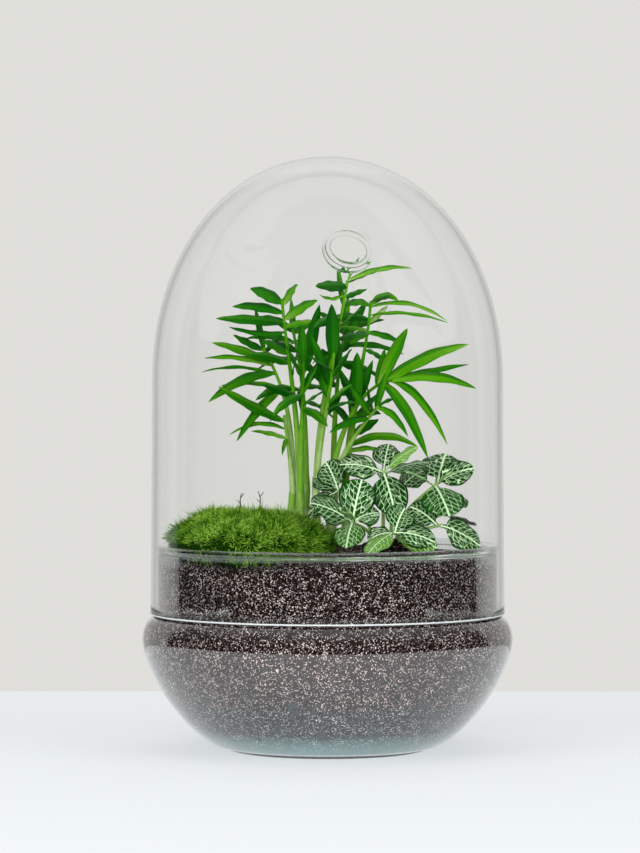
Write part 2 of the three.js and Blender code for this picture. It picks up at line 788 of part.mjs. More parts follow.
// Nerve plant: each stem has a foot on the root ball and a top. A leaf has its place as a share of the stem,
// its tip, its width and the way that its upper side turns.
const NERVE_STEM = 1.1;
const NERVE_ARCH = 1.5;
const NERVES = [
  {
    name: "nerve_stem_low_left",
    foot: [22, -20],
    top: [12, -38, 117],
    leaves: [
      [0.97, [17, -38, 138], 17.5, [0.1, -0.97, 0.22]],
      [1, [-8, -44, 127], 15, [-0.2, -0.85, 0.5]],
      [0.96, [9, -53, 105], 15, [-0.1, -0.65, 0.75]],
      [0.97, [26, -36, 121], 12, [0.3, -0.75, 0.6]],
      [0.97, [8, -49, 123], 6, [0, -0.7, 0.7]],
    ],
  },
  {
    name: "nerve_stem_top",
    foot: [28, -12],
    top: [28, -22, 142],
    leaves: [
      [0.96, [6, -27, 145], 14, [-0.1, -0.8, 0.6]],
      [0.96, [34, -33, 119], 17, [0.1, -0.93, 0.35]],
      [0.96, [45, -31, 154], 8, [-0.3, -0.6, 0.7]],
      [1, [31, -8, 155], 13, [0, -0.75, 0.65]],
      [0.91, [51, -18, 146], 14, [0.1, -0.25, 0.97]],
    ],
  },
  {
    name: "nerve_stem_right",
    foot: [35, -12],
    top: [55, -23, 136],
    leaves: [
      [1, [60, -9, 150], 20, [0, -0.65, 0.75]],
      [0.9, [39, -35, 142], 10, [-0.2, -0.65, 0.7]],
      [1, [65, -36, 142], 8, [0.3, -0.65, 0.7]],
      [0.95, [73, -13, 143], 12, [0.2, -0.9, 0.4]],
      [0.92, [60, -42, 120], 20, [0, -0.6, 0.8]],
    ],
  },
  {
    name: "nerve_stem_left",
    foot: [22, -12],
    top: [5, -17, 132],
    leaves: [
      [0.97, [-1, -18, 146], 14, [-0.2, -0.8, 0.5]],
      [0.97, [-10, 2, 119], 11, [-0.2, -0.8, 0.5]],
      [0.99, [-6, 0, 135], 13, [-0.2, -0.5, 0.8]],
    ],
  },
  {
    name: "nerve_stem_front",
    foot: [29, -22],
    top: [33, -46, 112],
    leaves: [
      [1, [53, -44, 107], 12, [-0.2, -0.85, 0.5]],
      [0.84, [54, -57, 104], 14, [0.1, -0.8, 0.6]],
      [0.84, [20, -49, 108], 12, [-0.1, -0.7, 0.7]],
      [0.84, [19, -61, 102], 11, [-0.2, -0.7, 0.7]],
      [1, [38, -42, 124], 14, [0.1, -0.9, 0.4]],
    ],
  },
  {
    name: "nerve_stem_low_right",
    foot: [36, -20],
    top: [56, -33, 115],
    leaves: [
      [1, [76, -24, 104], 16, [0.35, -0.8, 0.5]],
      [0.92, [41, -44, 124], 14, [0, -0.9, 0.4]],
    ],
  },
  {
    name: "nerve_stem_back",
    foot: [32, -6],
    top: [36, 6, 131],
    leaves: [
      [1, [25, 4, 140], 15, [-0.2, -0.3, 0.9]],
      [1, [50, 12, 141], 16, [0.2, -0.2, 0.9]],
      [0.72, [27, 20, 122], 14, [0, 0.6, 0.7]],
    ],
  },
  {
    name: "nerve_stem_far_back",
    foot: [39, -8],
    top: [58, 0, 119],
    leaves: [
      [1, [70, 13, 127], 14, [0.3, 0.2, 0.9]],
      [1, [52, 14, 126], 14, [-0.1, 0.4, 0.9]],
      [1, [76, 10, 113], 13, [0.5, 0.3, 0.8]],
    ],
  },
];

/** The curve of a nerve plant's stem, upright at its foot. */
function nerveCurve({ foot, top }) {
  const base = vector(foot[0], foot[1], NERVE_ROOT.topZ + 0.5);
  const end = vector(...top);
  const rise = end.z - base.z;
  return [
    base,
    base.clone().addScaledVector(UP, rise * 0.5),
    end.clone().lerp(base, 0.25).setZ(base.z + rise * 0.8),
    end,
  ];
}

/** Leaves room for the nerve plant's stems before its first leaf is placed. */
function reserveStems() {
  for (const spec of NERVES) {
    const curve = nerveCurve(spec);
    for (let i = 0; i <= 14; i++) taken.push({ spot: onCurve(curve, i / 14.5).point, owner: spec.name });
  }
}

/** One leafy stem of the nerve plant. */
function nerve(spec) {
  const curve = nerveCurve(spec);
  const side = vector(0, 1, 0);
  const foot = vector(spec.foot[0], spec.foot[1], 0);
  const pieces = [
    stick(foot.clone().setZ(NERVE_ROOT.topZ - 9), foot.clone().setZ(NERVE_ROOT.topZ + 1.5), NERVE_STEM, NERVE_STEM),
    stalk(curve, side, NERVE_STEM, 0.9, 5),
  ];
  for (const [share, tip, width, facing] of spec.leaves) {
    const { point } = onCurve(curve, share);
    const above = vector(...facing).normalize();
    const line = settled(spec.name, point, vector(...tip), NERVE_ARCH, above, width, eggShape, NERVE_GAP);
    if (line) pieces.push(bladeSolid(line, width, eggShape, 1.2, [0, 3, 5, 9, 14, 18]));
  }
  return joined(pieces);
}

// Dry sprigs that stand in the moss.
const SPRIGS = [
  { name: "sprig_left", from: [-45, -30, 114], to: [-42.5, -30, 131] },
  { name: "sprig_right", from: [-33.5, -32, 113], to: [-34, -32, 132] },
];

const glass = new THREE.MeshStandardMaterial({ color: 0xdfe6e3, roughness: 0.02, transparent: true, opacity: 0.3 });
const peat = new THREE.MeshStandardMaterial({ color: 0x33261f, roughness: 0.95 });
const stone = new THREE.MeshStandardMaterial({ color: 0x4d5355, roughness: 0.85 });
const mossGreen = new THREE.MeshStandardMaterial({ color: 0x5f8a1f, roughness: 0.9 });
const palmGreen = new THREE.MeshStandardMaterial({ color: 0x3b8a24, roughness: 0.45 });
const nerveGreen = new THREE.MeshStandardMaterial({ color: 0x2f7a3c, roughness: 0.5 });
const dryBrown = new THREE.MeshStandardMaterial({ color: 0x2e2a1c, roughness: 0.9 });

reserveStalks();
const palms = PALMS.map((spec) => [spec, palm(spec)]);
reserveStems();
const nerves = NERVES.map((spec) => [spec, nerve(spec)]);
const sprigs = SPRIGS.map((spec) => [spec, stick(vector(...spec.from), vector(...spec.to), 0.7, 0.5, 6)]);

let palmRoot = rootBall(PALM_ROOT);
for (const { foot } of PALMS) {
  const from = vector(foot[0], foot[1], PALM_ROOT.topZ - 12 - CLEARANCE);
  palmRoot = palmRoot.subtract(stick(from, from.clone().setZ(PALM_ROOT.topZ + 5), PALM_SHEATH + CLEARANCE, PALM_SHEATH, 6));
}
let nerveRoot = rootBall(NERVE_ROOT);
for (const { foot } of NERVES) {
  const from = vector(foot[0], foot[1], NERVE_ROOT.topZ - 9 - CLEARANCE);
  const hole = NERVE_STEM + CLEARANCE;
  nerveRoot = nerveRoot.subtract(stick(from, from.clone().setZ(NERVE_ROOT.topZ + 5), hole, hole, 6));
}
let cushion = moss();
for (const { from, to } of SPRIGS) {
  const low = vector(...from).add(vector(0, 0, -CLEARANCE));
  cushion = cushion.subtract(stick(low, vector(...to), 0.7 + CLEARANCE, 0.7 + CLEARANCE, 6));
}

const terrarium = new THREE.Group();
terrarium.add(meshOf("glass_bowl", bowl(), glass));
terrarium.add(meshOf("glass_dome", dome(), glass));
terrarium.add(meshOf("drainage_gravel", gravel(), stone));
terrarium.add(meshOf("potting_soil", soil(), peat));
terrarium.add(meshOf("palm_root_ball", palmRoot, peat));
terrarium.add(meshOf("nerve_root_ball", nerveRoot, peat));
terrarium.add(meshOf("moss_cushion", cushion, mossGreen));
for (const [spec, body] of sprigs) terrarium.add(meshOf(spec.name, body, dryBrown));
for (const [spec, body] of palms) terrarium.add(meshOf(spec.name, body, palmGreen));
for (const [spec, body] of nerves) terrarium.add(meshOf(spec.name, body, nerveGreen));

export default terrarium;
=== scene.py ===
"""A planted glass terrarium: a glass bowl of gravel and soil under a tall vented dome, with palm seedlings,
a nerve plant and a moss cushion. Sizes are in metres."""

import math

import bpy
import numpy as np
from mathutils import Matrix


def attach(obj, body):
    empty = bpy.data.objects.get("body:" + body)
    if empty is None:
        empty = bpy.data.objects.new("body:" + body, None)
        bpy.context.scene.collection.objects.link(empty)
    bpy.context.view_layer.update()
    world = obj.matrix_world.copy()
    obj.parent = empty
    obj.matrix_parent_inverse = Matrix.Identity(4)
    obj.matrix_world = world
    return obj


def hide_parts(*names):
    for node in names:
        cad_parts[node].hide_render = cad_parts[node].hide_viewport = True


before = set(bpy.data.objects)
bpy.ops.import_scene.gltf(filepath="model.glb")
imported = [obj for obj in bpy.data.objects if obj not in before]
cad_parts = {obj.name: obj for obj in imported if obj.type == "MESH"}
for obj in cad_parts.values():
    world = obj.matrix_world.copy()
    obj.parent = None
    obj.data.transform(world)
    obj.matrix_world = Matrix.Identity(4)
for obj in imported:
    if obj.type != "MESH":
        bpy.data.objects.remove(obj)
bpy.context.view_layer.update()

# The photographer's place: a long lens 1.9 m away, a little above the middle of the glass, looking very
# slightly down.
EYE = np.array([-0.0038, -1.9, 0.203])
AIM = np.array([-0.0038, 0.0, 0.1635])
lens = bpy.data.cameras.new("photo_lens")
lens.lens = 158.3
lens.sensor_width = 36
photographer = bpy.data.objects.new("photographer", lens)
photographer.location = EYE
down = math.atan2(EYE[2] - AIM[2], AIM[1] - EYE[1])
photographer.rotation_euler = (math.pi / 2 - down, 0, 0)
bpy.context.collection.objects.link(photographer)
bpy.context.scene.camera = photographer
bpy.context.scene.view_settings.view_transform = "Standard"

# The table: a matt white top that ends a forearm's length behind the glass. It glows a little by itself, so
# that the shadows on it stay faint.
TABLE_BACK = 0.317
TABLE_FRONT = -0.46
TABLE_LOOK = {"Specular IOR Level": 0, "Emission Color": (0.955, 0.988, 1.0, 1), "Emission Strength": 0.55}


def feed(node, inputs):
    """Gives each named input of a node its value, or the output of another node to take it from."""
    for name, value in inputs.items():
        if isinstance(value, bpy.types.NodeSocket):
            node.id_data.links.new(value, node.inputs[name])
        else:
            node.inputs[name].default_value = value


def add(nodes, kind, inputs=None, **options):
    """A new node of a kind, with its options and its inputs."""
    node = nodes.new("ShaderNode" + kind)
    for option, value in options.items():
        setattr(node, option, value)
    feed(node, inputs or {})
    return node


def finish(name, colour, roughness, inputs=None):
    """A new material, its nodes and its shader, whose other inputs are given by name."""
    material = bpy.data.materials.new(name)
    material.use_nodes = True
    nodes = material.node_tree.nodes
    shader = nodes["Principled BSDF"]
    feed(shader, {"Base Color": (*colour, 1), "Roughness": roughness, **(inputs or {})})
    return material, nodes, shader


def hang(name, mesh, materials):
    """Puts a finished mesh into the scene at the origin, smooth shaded."""
    mesh.polygons.foreach_set("use_smooth", np.ones(len(mesh.polygons), bool))
    for material in materials:
        mesh.materials.append(material)
    piece = bpy.data.objects.new(name, mesh)
    bpy.context.collection.objects.link(piece)
    return piece


def slab(name, low, high, material):
    """A box with sharp edges, given by its two far corners."""
    ends = list(zip(low, high))
    corners = [(x, y, z) for x in ends[0] for y in ends[1] for z in ends[2]]
    faces = [(0, 1, 3, 2), (4, 6, 7, 5), (0, 4, 5, 1), (2, 3, 7, 6), (0, 2, 6, 4), (1, 5, 7, 3)]
    mesh = bpy.data.meshes.new(name)
    mesh.from_pydata(corners, [], faces)
    piece = hang(name, mesh, [material])
    mesh.polygons.foreach_set("use_smooth", np.zeros(6, bool))
    return piece


white_top, _, _ = finish("white_table", (0.22, 0.23, 0.235), 0.32, TABLE_LOOK)
slab("table_top", (-1.1, TABLE_FRONT, -0.03), (1.1, TABLE_BACK, 0.0), white_top)

# A plain pale wall behind the table, lit in its middle, and the rest of the room: bright at its ceiling, and
# dim towards the floor. The wall's shades go by the distance from its middle, and the room's by height.
WALL_SHADES = ((0.42, (0.745, 0.738, 0.708)), (0.8, (0.50, 0.50, 0.48)))
ROOM_SHADES = ((0.49, 0.012), (0.57, 0.018), (0.74, 0.08), (0.95, 0.45))


def worked(nodes, operation, *values):
    """A number worked out from others, each a value or a node's output."""
    return add(nodes, "Math", dict(enumerate(values)), operation=operation).outputs[0]


def shaded(nodes, value, marks):
    """The colour of a value on a scale of marks, each of which is a place from 0 to 1 and its colour."""
    scale = add(nodes, "ValToRGB", {0: value})
    colours = scale.color_ramp.elements
    colours[0].position = marks[0][0]
    colours[1].position = marks[-1][0]
    for at, _ in marks[1:-1]:
        colours.new(at)
    for mark, (_, colour) in zip(colours, marks):
        mark.color = (*colour, 1)
    return scale.outputs[0]


wall_paint, nodes, shader = finish("wall_paint", (0.0, 0.0, 0.0), 1.0, {"Specular IOR Level": 0})
split = add(nodes, "SeparateXYZ", {0: add(nodes, "TexCoord").outputs["Object"]})
aside = worked(nodes, "ABSOLUTE", split.outputs["X"])
feed(shader, {"Emission Color": shaded(nodes, aside, WALL_SHADES), "Emission Strength": 1})
slab("room_wall", (-3.5, 1.7, -1.2), (3.5, 1.72, 2.4), wall_paint)

room = bpy.data.worlds.new("room")
bpy.context.scene.world = room
room.use_nodes = True
nodes = room.node_tree.nodes
split = add(nodes, "SeparateXYZ", {0: add(nodes, "TexCoord").outputs["Generated"]})
height = worked(nodes, "MULTIPLY_ADD", split.outputs["Z"], 0.5, 0.5)
greys = [(at, (shade, shade, shade * 0.99)) for at, shade in ROOM_SHADES]
feed(nodes["Background"], {"Color": shaded(nodes, height, greys)})


def lamp(name, place, target, size, watts):
    """A soft rectangular light that faces a target, screened from the glass. size is its width and height."""
    light = bpy.data.lights.new(name, "AREA")
    light.shape = "RECTANGLE"
    light.size, light.size_y = size
    light.energy = watts
    stand = bpy.data.objects.new(name, light)
    bpy.context.collection.objects.link(stand)
    way = np.array(place) - np.array(target)
    across = math.atan2(way[0], -way[1])
    stand.location = place
    stand.rotation_euler = (math.atan2(math.hypot(way[0], way[1]), way[2]), 0, across)
    stand.visible_glossy = False
    stand.visible_transmission = False


lamp("softbox_left", (-1.6, -1.5, 0.9), (0, 0, 0.05), (1.7, 1.7), 50)
lamp("softbox_right", (1.7, -1.3, 0.85), (0, 0, 0.05), (1.6, 1.6), 40)
lamp("softbox_front", (-0.1, -2.4, 0.45), (0, 0, 0.05), (1.6, 0.7), 72)
lamp("softbox_above", (0, 0.4, 2.4), (0, 0.1, 0), (3.0, 3.0), 36)

# The bowl: clear blown glass 3 mm thick, with a flat foot, a swelling wall, a round shoulder on which the
# dome stands, and an upright collar whose rim is melted into a round bead.
FOOT_RADIUS = 0.050
FOOT_UNDERSIDE = ((0.001, 0.0006), (0.02, 0.0006), (0.036, 0.0005), (0.041, 0.0001), (0.045, 0), (0.049, 0))
FOOT_EDGE = ((0.0497, 0.0001), (0.0501, 0.0004), (0.0502, 0.0009), (0.0540, 0.0018))
BOWL_RADIUS = 0.094
WAIST_Z = 0.0555
BOWL_CURVE = 1.5
BOWL_WALL = 0.003
BOWL_FLOOR = 0.0045
SHOULDER_RISE = 0.013
COLLAR_RADIUS = 0.086
COLLAR_FOOT_Z = 0.0716
COLLAR_INNER_FOOT_Z = 0.0690
COLLAR_TOP_Z = 0.0992
RIM_Z = 0.104
RIM_BEAD = 0.0019


def body(name, points, loops, sizes, materials, uv=None, tints=None, slots=None):
    """
    A piece from its points and, face by face, the numbers of their corners. uv and tints belong to the
    points, and slots tells each face's material.
    """
    mesh = bpy.data.meshes.new(name)
    mesh.vertices.add(len(points))
    mesh.vertices.foreach_set("co", points.astype(np.float32).ravel())
    mesh.loops.add(len(loops))
    mesh.loops.foreach_set("vertex_index", loops.astype(np.int32))
    mesh.polygons.add(len(sizes))
    mesh.polygons.foreach_set("loop_start", np.concatenate([[0], np.cumsum(sizes)[:-1]]).astype(np.int32))
    if slots is not None:
        mesh.polygons.foreach_set("material_index", slots.astype(np.int32))
    if uv is not None:
        mesh.uv_layers.new(name="lie").uv.foreach_set("vector", uv[loops].astype(np.float32).ravel())
    for tint, values in (tints or {}).items():
        tinted = mesh.attributes.new(tint, "FLOAT", "POINT").data
        tinted.foreach_set("value", values.astype(np.float32).ravel())
    mesh.update(calc_edges=True)
    mesh.validate()
    return hang(name, mesh, materials)


def skins(name, sheets, materials):
    """
    One piece from many sheets. A sheet has a grid of points, row by row, whose columns close on themselves.
    Its rows close too, or its first and last row are capped. uv and the tints lie over the grid, and slot
    is the number of its material.
    """
    points, loops, sizes, uv, slots, start = [], [], [], [], [], 0
    tints = {key: [] for key in sheets[0] if key not in ("grid", "uv", "slot", "ring")}
    for sheet in sheets:
        rows, columns = sheet["grid"].shape[:2]
        ring = sheet.get("ring", False)
        row = np.arange(rows if ring else rows - 1)[:, None]
        column = np.arange(columns)[None, :]
        ahead, beside = (row + 1) % rows, (column + 1) % columns
        here, next_row = row * columns, ahead * columns
        corners = (here + column, here + beside, next_row + beside, next_row + column)
        quads = np.stack(np.broadcast_arrays(*corners), -1).reshape(-1, 4)
        ends = [] if ring else [np.arange(columns)[::-1], (rows - 1) * columns + np.arange(columns)]
        loops += [start + quads.ravel(), *[start + end for end in ends]]
        sizes += [np.full(len(quads), 4), *[[columns] for _ in ends]]
        slots.append(np.full(len(quads) + len(ends), sheet.get("slot", 0)))
        points.append(sheet["grid"].reshape(-1, 3))
        uv.append(sheet.get("uv", np.zeros((rows, columns, 2))).reshape(-1, 2))
        for key, values in tints.items():
            values.append(np.broadcast_to(sheet[key], (rows, columns)).ravel())
        start += rows * columns
    return body(
        name,
        np.concatenate(points),
        np.concatenate(loops),
        np.concatenate(sizes),
        materials,
        np.concatenate(uv),
        {key: np.concatenate(values) for key, values in tints.items()},
        np.concatenate(slots),
    )


def skin(name, grid, materials, closed_rows=False, tints=None):
    """One piece from one sheet."""
    return skins(name, [{"grid": grid, "ring": closed_rows, **(tints or {})}], materials)


def arc(centre_r, centre_z, reach_r, reach_z, power, steps, start, end):
    """Part of a superellipse: radius and height of points from one angle in degrees to another."""
    angle = np.radians(np.linspace(start, end, steps + 1))
    r = centre_r + reach_r * np.abs(np.cos(angle)) ** (2 / power) * np.sign(np.cos(angle) + 1e-12)
    z = centre_z + reach_z * np.abs(np.sin(angle)) ** (2 / power) * np.sign(np.sin(angle) + 1e-12)
    return np.stack([r, z], -1)


def rounded(points, steps):
    """A smooth line through points, with steps pieces between two of them (Catmull-Rom)."""
    p = np.concatenate([points[:1], points, points[-1:]])
    t = np.linspace(0, 1, steps, endpoint=False)[None, :, None]
    a, b, c, d = p[:-3, None], p[1:-2, None], p[2:-1, None], p[3:, None]
    line = 0.5 * (2 * b + (c - a) * t + (2 * a - 5 * b + 4 * c - d) * t**2 + (3 * b - a - 3 * c + d) * t**3)
    return np.concatenate([line.reshape(-1, points.shape[1]), points[-1:]])


def turned(profile, columns):
    """The grid of a turned shape: a profile of radius and height, carried round the upright axis."""
    angle = np.linspace(0, 2 * np.pi, columns, endpoint=False)
    r, z = profile[:, 0, None], profile[:, 1, None]
    return np.stack([r * np.cos(angle), r * np.sin(angle), np.broadcast_to(z, (len(profile), columns))], -1)


def clear_glass(name, green, ior, gleam=0.0):
    """
    Clear glass that lets the lamps' light through to what it covers. green is how strongly its thickness
    is tinted, and gleam how strongly its fire-polished skin mirrors.
    """
    polish = {"Coat Weight": gleam, "Coat Roughness": 0.02, "Coat IOR": 1.8}
    material, nodes, shader = finish(name, (1, 1, 1), 0.0, {"Transmission Weight": 1, "IOR": ior, **polish})
    is_shadow = add(nodes, "LightPath").outputs["Is Shadow Ray"]
    open_way = add(nodes, "BsdfTransparent", {"Color": (0.93, 0.95, 0.945, 1)})
    either = add(nodes, "MixShader", {0: is_shadow, 1: shader.outputs[0], 2: open_way.outputs[0]})
    tint = add(nodes, "VolumeAbsorption", {"Color": (0.36, 0.82, 0.80, 1), "Density": green})
    feed(nodes["Material Output"], {"Surface": either.outputs[0], "Volume": tint.outputs[0]})
    return material


collar_in = COLLAR_RADIUS - BOWL_WALL
bead_middle = np.array([COLLAR_RADIUS - BOWL_WALL / 2, RIM_Z - RIM_BEAD])
bead_angles = np.radians(np.linspace(-50, 230, 22))
bead = bead_middle + RIM_BEAD * np.stack([np.cos(bead_angles), np.sin(bead_angles)], -1)
wall_out = arc(FOOT_RADIUS, WAIST_Z, BOWL_RADIUS - FOOT_RADIUS, -WAIST_Z, BOWL_CURVE, 64, 74, 0)
shoulder = arc(COLLAR_RADIUS, WAIST_Z, BOWL_RADIUS - COLLAR_RADIUS, SHOULDER_RISE, 2, 14, 4, 78)
collar = np.stack([np.full(28, COLLAR_RADIUS), np.linspace(COLLAR_FOOT_Z, COLLAR_TOP_Z, 28)], -1)
collar_back = np.stack([np.full(32, collar_in), np.linspace(COLLAR_TOP_Z, COLLAR_INNER_FOOT_Z, 32)], -1)
swell = BOWL_RADIUS - COLLAR_RADIUS
shoulder_in = arc(collar_in, WAIST_Z, swell, SHOULDER_RISE - BOWL_WALL, 2, 10, 74, 4)
foot_in = FOOT_RADIUS - BOWL_WALL
wall_in = arc(foot_in, WAIST_Z, collar_in + swell - foot_in, BOWL_FLOOR - WAIST_Z, BOWL_CURVE, 56, 0, 86)
floor_in = np.array([[0.040, BOWL_FLOOR], [0.02, BOWL_FLOOR], [0.001, BOWL_FLOOR]])
outer_line = [FOOT_UNDERSIDE, FOOT_EDGE, wall_out, shoulder, collar, bead]
bowl_line = np.concatenate([*outer_line, collar_back, shoulder_in, wall_in, floor_in])
bowl_glass = clear_glass("bowl_glass", 18, 1.52, 1.0)
bowl = skin("glass_bowl_blown", turned(bowl_line, 160), [bowl_glass])
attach(bowl, "root")
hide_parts("glass_bowl")

# The dome: a tall bell of thinner clear glass. Its thickened foot stands on the bowl's shoulder, round the
# collar. A vent in its upper front was melted open, and the hole's edge rolled into a glass ring.
DOME_RADIUS = 0.0889
DOME_FLARE = 0.0009
DOME_WALL = 0.0026
DOME_FOOT_Z = 0.0684
DOME_SPRING_Z = 0.186
DOME_TOP_Z = 0.300
DOME_CURVE = 2.08
DOME_FOOT_DEPTH = 0.0016
DOME_FOOT_BULGE = 0.0003
# The heights above the dome's foot between which the painted highlight band lies.
PAINTED_HIGHLIGHT_HEIGHTS = (0.0003, 0.0011)
VENT_CENTRE = np.array([0.010, -0.072, 0.2515])
VENT_AZIMUTH, VENT_RISE = np.radians(-76), np.radians(39)
VENT_RADIUS = 0.0102
VENT_BEAD = 0.0014


def smooth(x):
    """The soft step 3x^2 - 2x^3, held between 0 and 1."""
    x = np.clip(x, 0, 1)
    return x * x * (3 - 2 * x)


def unit(v):
    """Vectors of length 1 along v."""
    return v / np.linalg.norm(v, axis=-1)[..., None]


def blown_bell(around, outward):
    """
    The dome as one closed grid. Its rows run from the foot over the outside to the vent, round the vent's
    ring, back over the inside, and under the foot. A plane in which the bell's rings are circles about a
    middle, each smaller than the one below by the ratio exp(-path / radius), carries small circles to small
    circles. There the rows are circles moved by w -> (w + a) / (1 + a* w), from the middle to the vent.
    """
    cap = arc(0, DOME_SPRING_Z, DOME_RADIUS, DOME_TOP_Z - DOME_SPRING_Z, DOME_CURVE, 1500, 0, 90)
    z = np.linspace(DOME_FOOT_Z + 0.002, DOME_SPRING_Z, 400, endpoint=False)
    share = (DOME_SPRING_Z - z) / (DOME_SPRING_Z - DOME_FOOT_Z)
    line = np.concatenate([np.stack([DOME_RADIUS + DOME_FLARE * share**1.5, z], -1), cap])[::-1]
    step = np.linalg.norm(np.diff(line, axis=0), axis=1)
    middle = np.maximum((line[1:, 0] + line[:-1, 0]) / 2, 1e-7)
    ratio = np.concatenate([[0], np.cumsum((step / middle)[1:])])
    plane = np.concatenate([[0], np.exp(ratio - ratio[-1])])
    along = np.gradient(line, axis=0)
    normal = unit(np.stack([along[:, 1], -along[:, 0]], -1))
    normal *= np.sign(normal[len(normal) // 2, 0])
    inner = line - DOME_WALL * normal
    inner[0] = (0, line[0, 1] - DOME_WALL)
    inner[:, 0] = np.maximum(inner[:, 0], 0)

    def lifted(w, profile):
        spot = (w + vent_place) / (1 + np.conj(vent_place) * w)
        r = np.interp(np.abs(spot), plane, profile[:, 0])
        height = np.interp(np.abs(spot), plane, profile[:, 1])
        turn = np.angle(spot)
        return np.stack([r * np.cos(turn), r * np.sin(turn), height], -1)

    reach = np.interp(VENT_CENTRE[2], line[::-1, 1], plane[::-1])
    vent_place = reach * np.exp(1j * math.atan2(VENT_CENTRE[1], VENT_CENTRE[0]))
    u = np.exp(1j * np.linspace(0, 2 * np.pi, around, endpoint=False))
    lip = 1e-3
    for _ in range(30):
        size = np.linalg.norm(lifted(lip * u, line) - VENT_CENTRE, axis=1).mean()
        lip *= (VENT_RADIUS + 1.9 * VENT_BEAD) / size
    rows = np.exp(np.linspace(0, math.log(lip), 130))[:, None] * u[None, :]
    outside, inside = lifted(rows, line), lifted(rows, inner)
    spoke = outside[-1] - VENT_CENTRE
    spoke = unit(spoke - (spoke @ outward)[:, None] * outward)
    turns = np.radians(np.linspace(52, 308, 18))[:, None, None]
    ring = (
        VENT_CENTRE
        + spoke[None] * (VENT_RADIUS + VENT_BEAD * np.cos(turns))
        + outward * VENT_BEAD * np.sin(turns)
    )
    mix = smooth(np.linspace(0.15, 0.85, 4))[:, None, None]
    into = outside[-1] * (1 - mix) + ring[0] * mix
    out_of = ring[-1] * (1 - mix) + inside[-1] * mix
    around_foot = np.angle(lifted(rows[:1], line)[0] @ np.array([1, 1j, 0]))
    thick = DOME_RADIUS + DOME_FLARE - DOME_WALL / 2
    bottom = np.radians(np.linspace(-165, -15, 9))[:, None]
    bead_r = thick - 0.00005 + (DOME_WALL / 2 + DOME_FOOT_BULGE) * np.cos(bottom)
    bead_z = DOME_FOOT_Z + DOME_FOOT_DEPTH + DOME_FOOT_DEPTH * np.sin(bottom)
    east, north = bead_r * np.cos(around_foot), bead_r * np.sin(around_foot)
    foot = np.stack([east, north, bead_z + 0 * around_foot], -1)
    return np.concatenate([outside, into, ring, out_of, inside[::-1], foot])


level = math.cos(VENT_RISE)
vent_way = np.array([math.cos(VENT_AZIMUTH) * level, math.sin(VENT_AZIMUTH) * level, math.sin(VENT_RISE)])
# A thin band round the outside of the foot's bead is pale, half-clear white glass: a painted highlight,
# standing for the thin line of light that the edge catches.
painted_highlight_band, _, _ = finish("painted_highlight_band", (0.92, 0.97, 0.96), 0.3, {"Transmission Weight": 0.5})
dome_glass = clear_glass("dome_glass", 3, 1.34)
dome = skin("glass_dome_blown", blown_bell(176, vent_way), [dome_glass, painted_highlight_band], closed_rows=True)
centres = np.empty(3 * len(dome.data.polygons), np.float32)
dome.data.polygons.foreach_get("center", centres)
above_foot = centres[2::3] - DOME_FOOT_Z
outer = np.hypot(centres[0::3], centres[1::3]) > DOME_RADIUS + DOME_FLARE - DOME_WALL / 2
on_painted_highlight = outer & (above_foot > PAINTED_HIGHLIGHT_HEIGHTS[0]) & (above_foot < PAINTED_HIGHLIGHT_HEIGHTS[1])
dome.data.polygons.foreach_set("material_index", on_painted_highlight.astype(np.int32))
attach(dome, "root")
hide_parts("glass_dome")

# Potting soil: a dark, crumbly mix of peat, bark and coarse sand, poured in over the gravel. It is moist and
# clings to the bowl's lining. Fine pale grains show all through it.
SOIL_CLING = 0.0002
SOIL_FOOT_Z = 0.0275
SOIL_EDGE_Z = 0.0945
CRUMB_MIXES = ((0, 0), (0.5, 0), (0.73, 0.03), (0.85, 0.2), (0.92, 0.9), (1, 1))
lining = np.concatenate([collar_back, shoulder_in, wall_in])[::-1]


def lining_radius(z):
    """The radius of the bowl's inside at a height."""
    return np.interp(z, lining[:, 1], lining[:, 0])


def lumps(points, size, seed):
    """Smooth noise from -1 to 1: random values on a lattice of that size, blended between its corners."""
    cell = points / size
    low = np.floor(cell)
    part = smooth(cell - low)
    total = 0
    for corner in np.ndindex(2, 2, 2):
        code = np.sin((low + corner) @ np.array([127.1, 311.7, 74.7]) + 43.3 * seed) * 43758.5453
        total = total + np.prod(np.where(corner, part, 1 - part), axis=-1) * (code - np.floor(code))
    return 2 * total - 1


def gravel_top(x, y):
    """The height of the gravel's top: 25 mm with two low waves."""
    return 0.025 + 0.0015 * np.sin(x / 0.017 + y / 0.023) + 0.0008 * np.sin(y / 0.015)


def soil_top(x, y):
    """The height of the soil's top: a low crown, a dip at the front left, a heap at the right, and lumps."""
    share = np.hypot(x, y) / 0.083
    dip = 0.0032 * np.exp(-((x + 0.042) ** 2 + (y + 0.066) ** 2) / 0.0005)
    heap = 0.0026 * np.exp(-((x - 0.062) ** 2 + (y + 0.040) ** 2) / 0.00042)
    waves = 0.0005 * np.sin(x / 0.0061 + 1) * np.cos(y / 0.0053)
    return 0.0975 + 0.0045 * (1 - share**2) - dip + heap + waves


def moved(nodes, value, source, target, easing="LINEAR"):
    """A value carried from one range to another."""
    ends = {"From Min": source[0], "From Max": source[1], "To Min": target[0], "To Max": target[1]}
    return add(nodes, "MapRange", {"Value": value, **ends}, interpolation_type=easing).outputs[0]


def mixed(nodes, share, first, second, way="MIX"):
    """Two colours mixed by a share."""
    inputs = {"Factor": share, "A": first, "B": second}
    return add(nodes, "Mix", inputs, data_type="RGBA", blend_type=way).outputs["Result"]


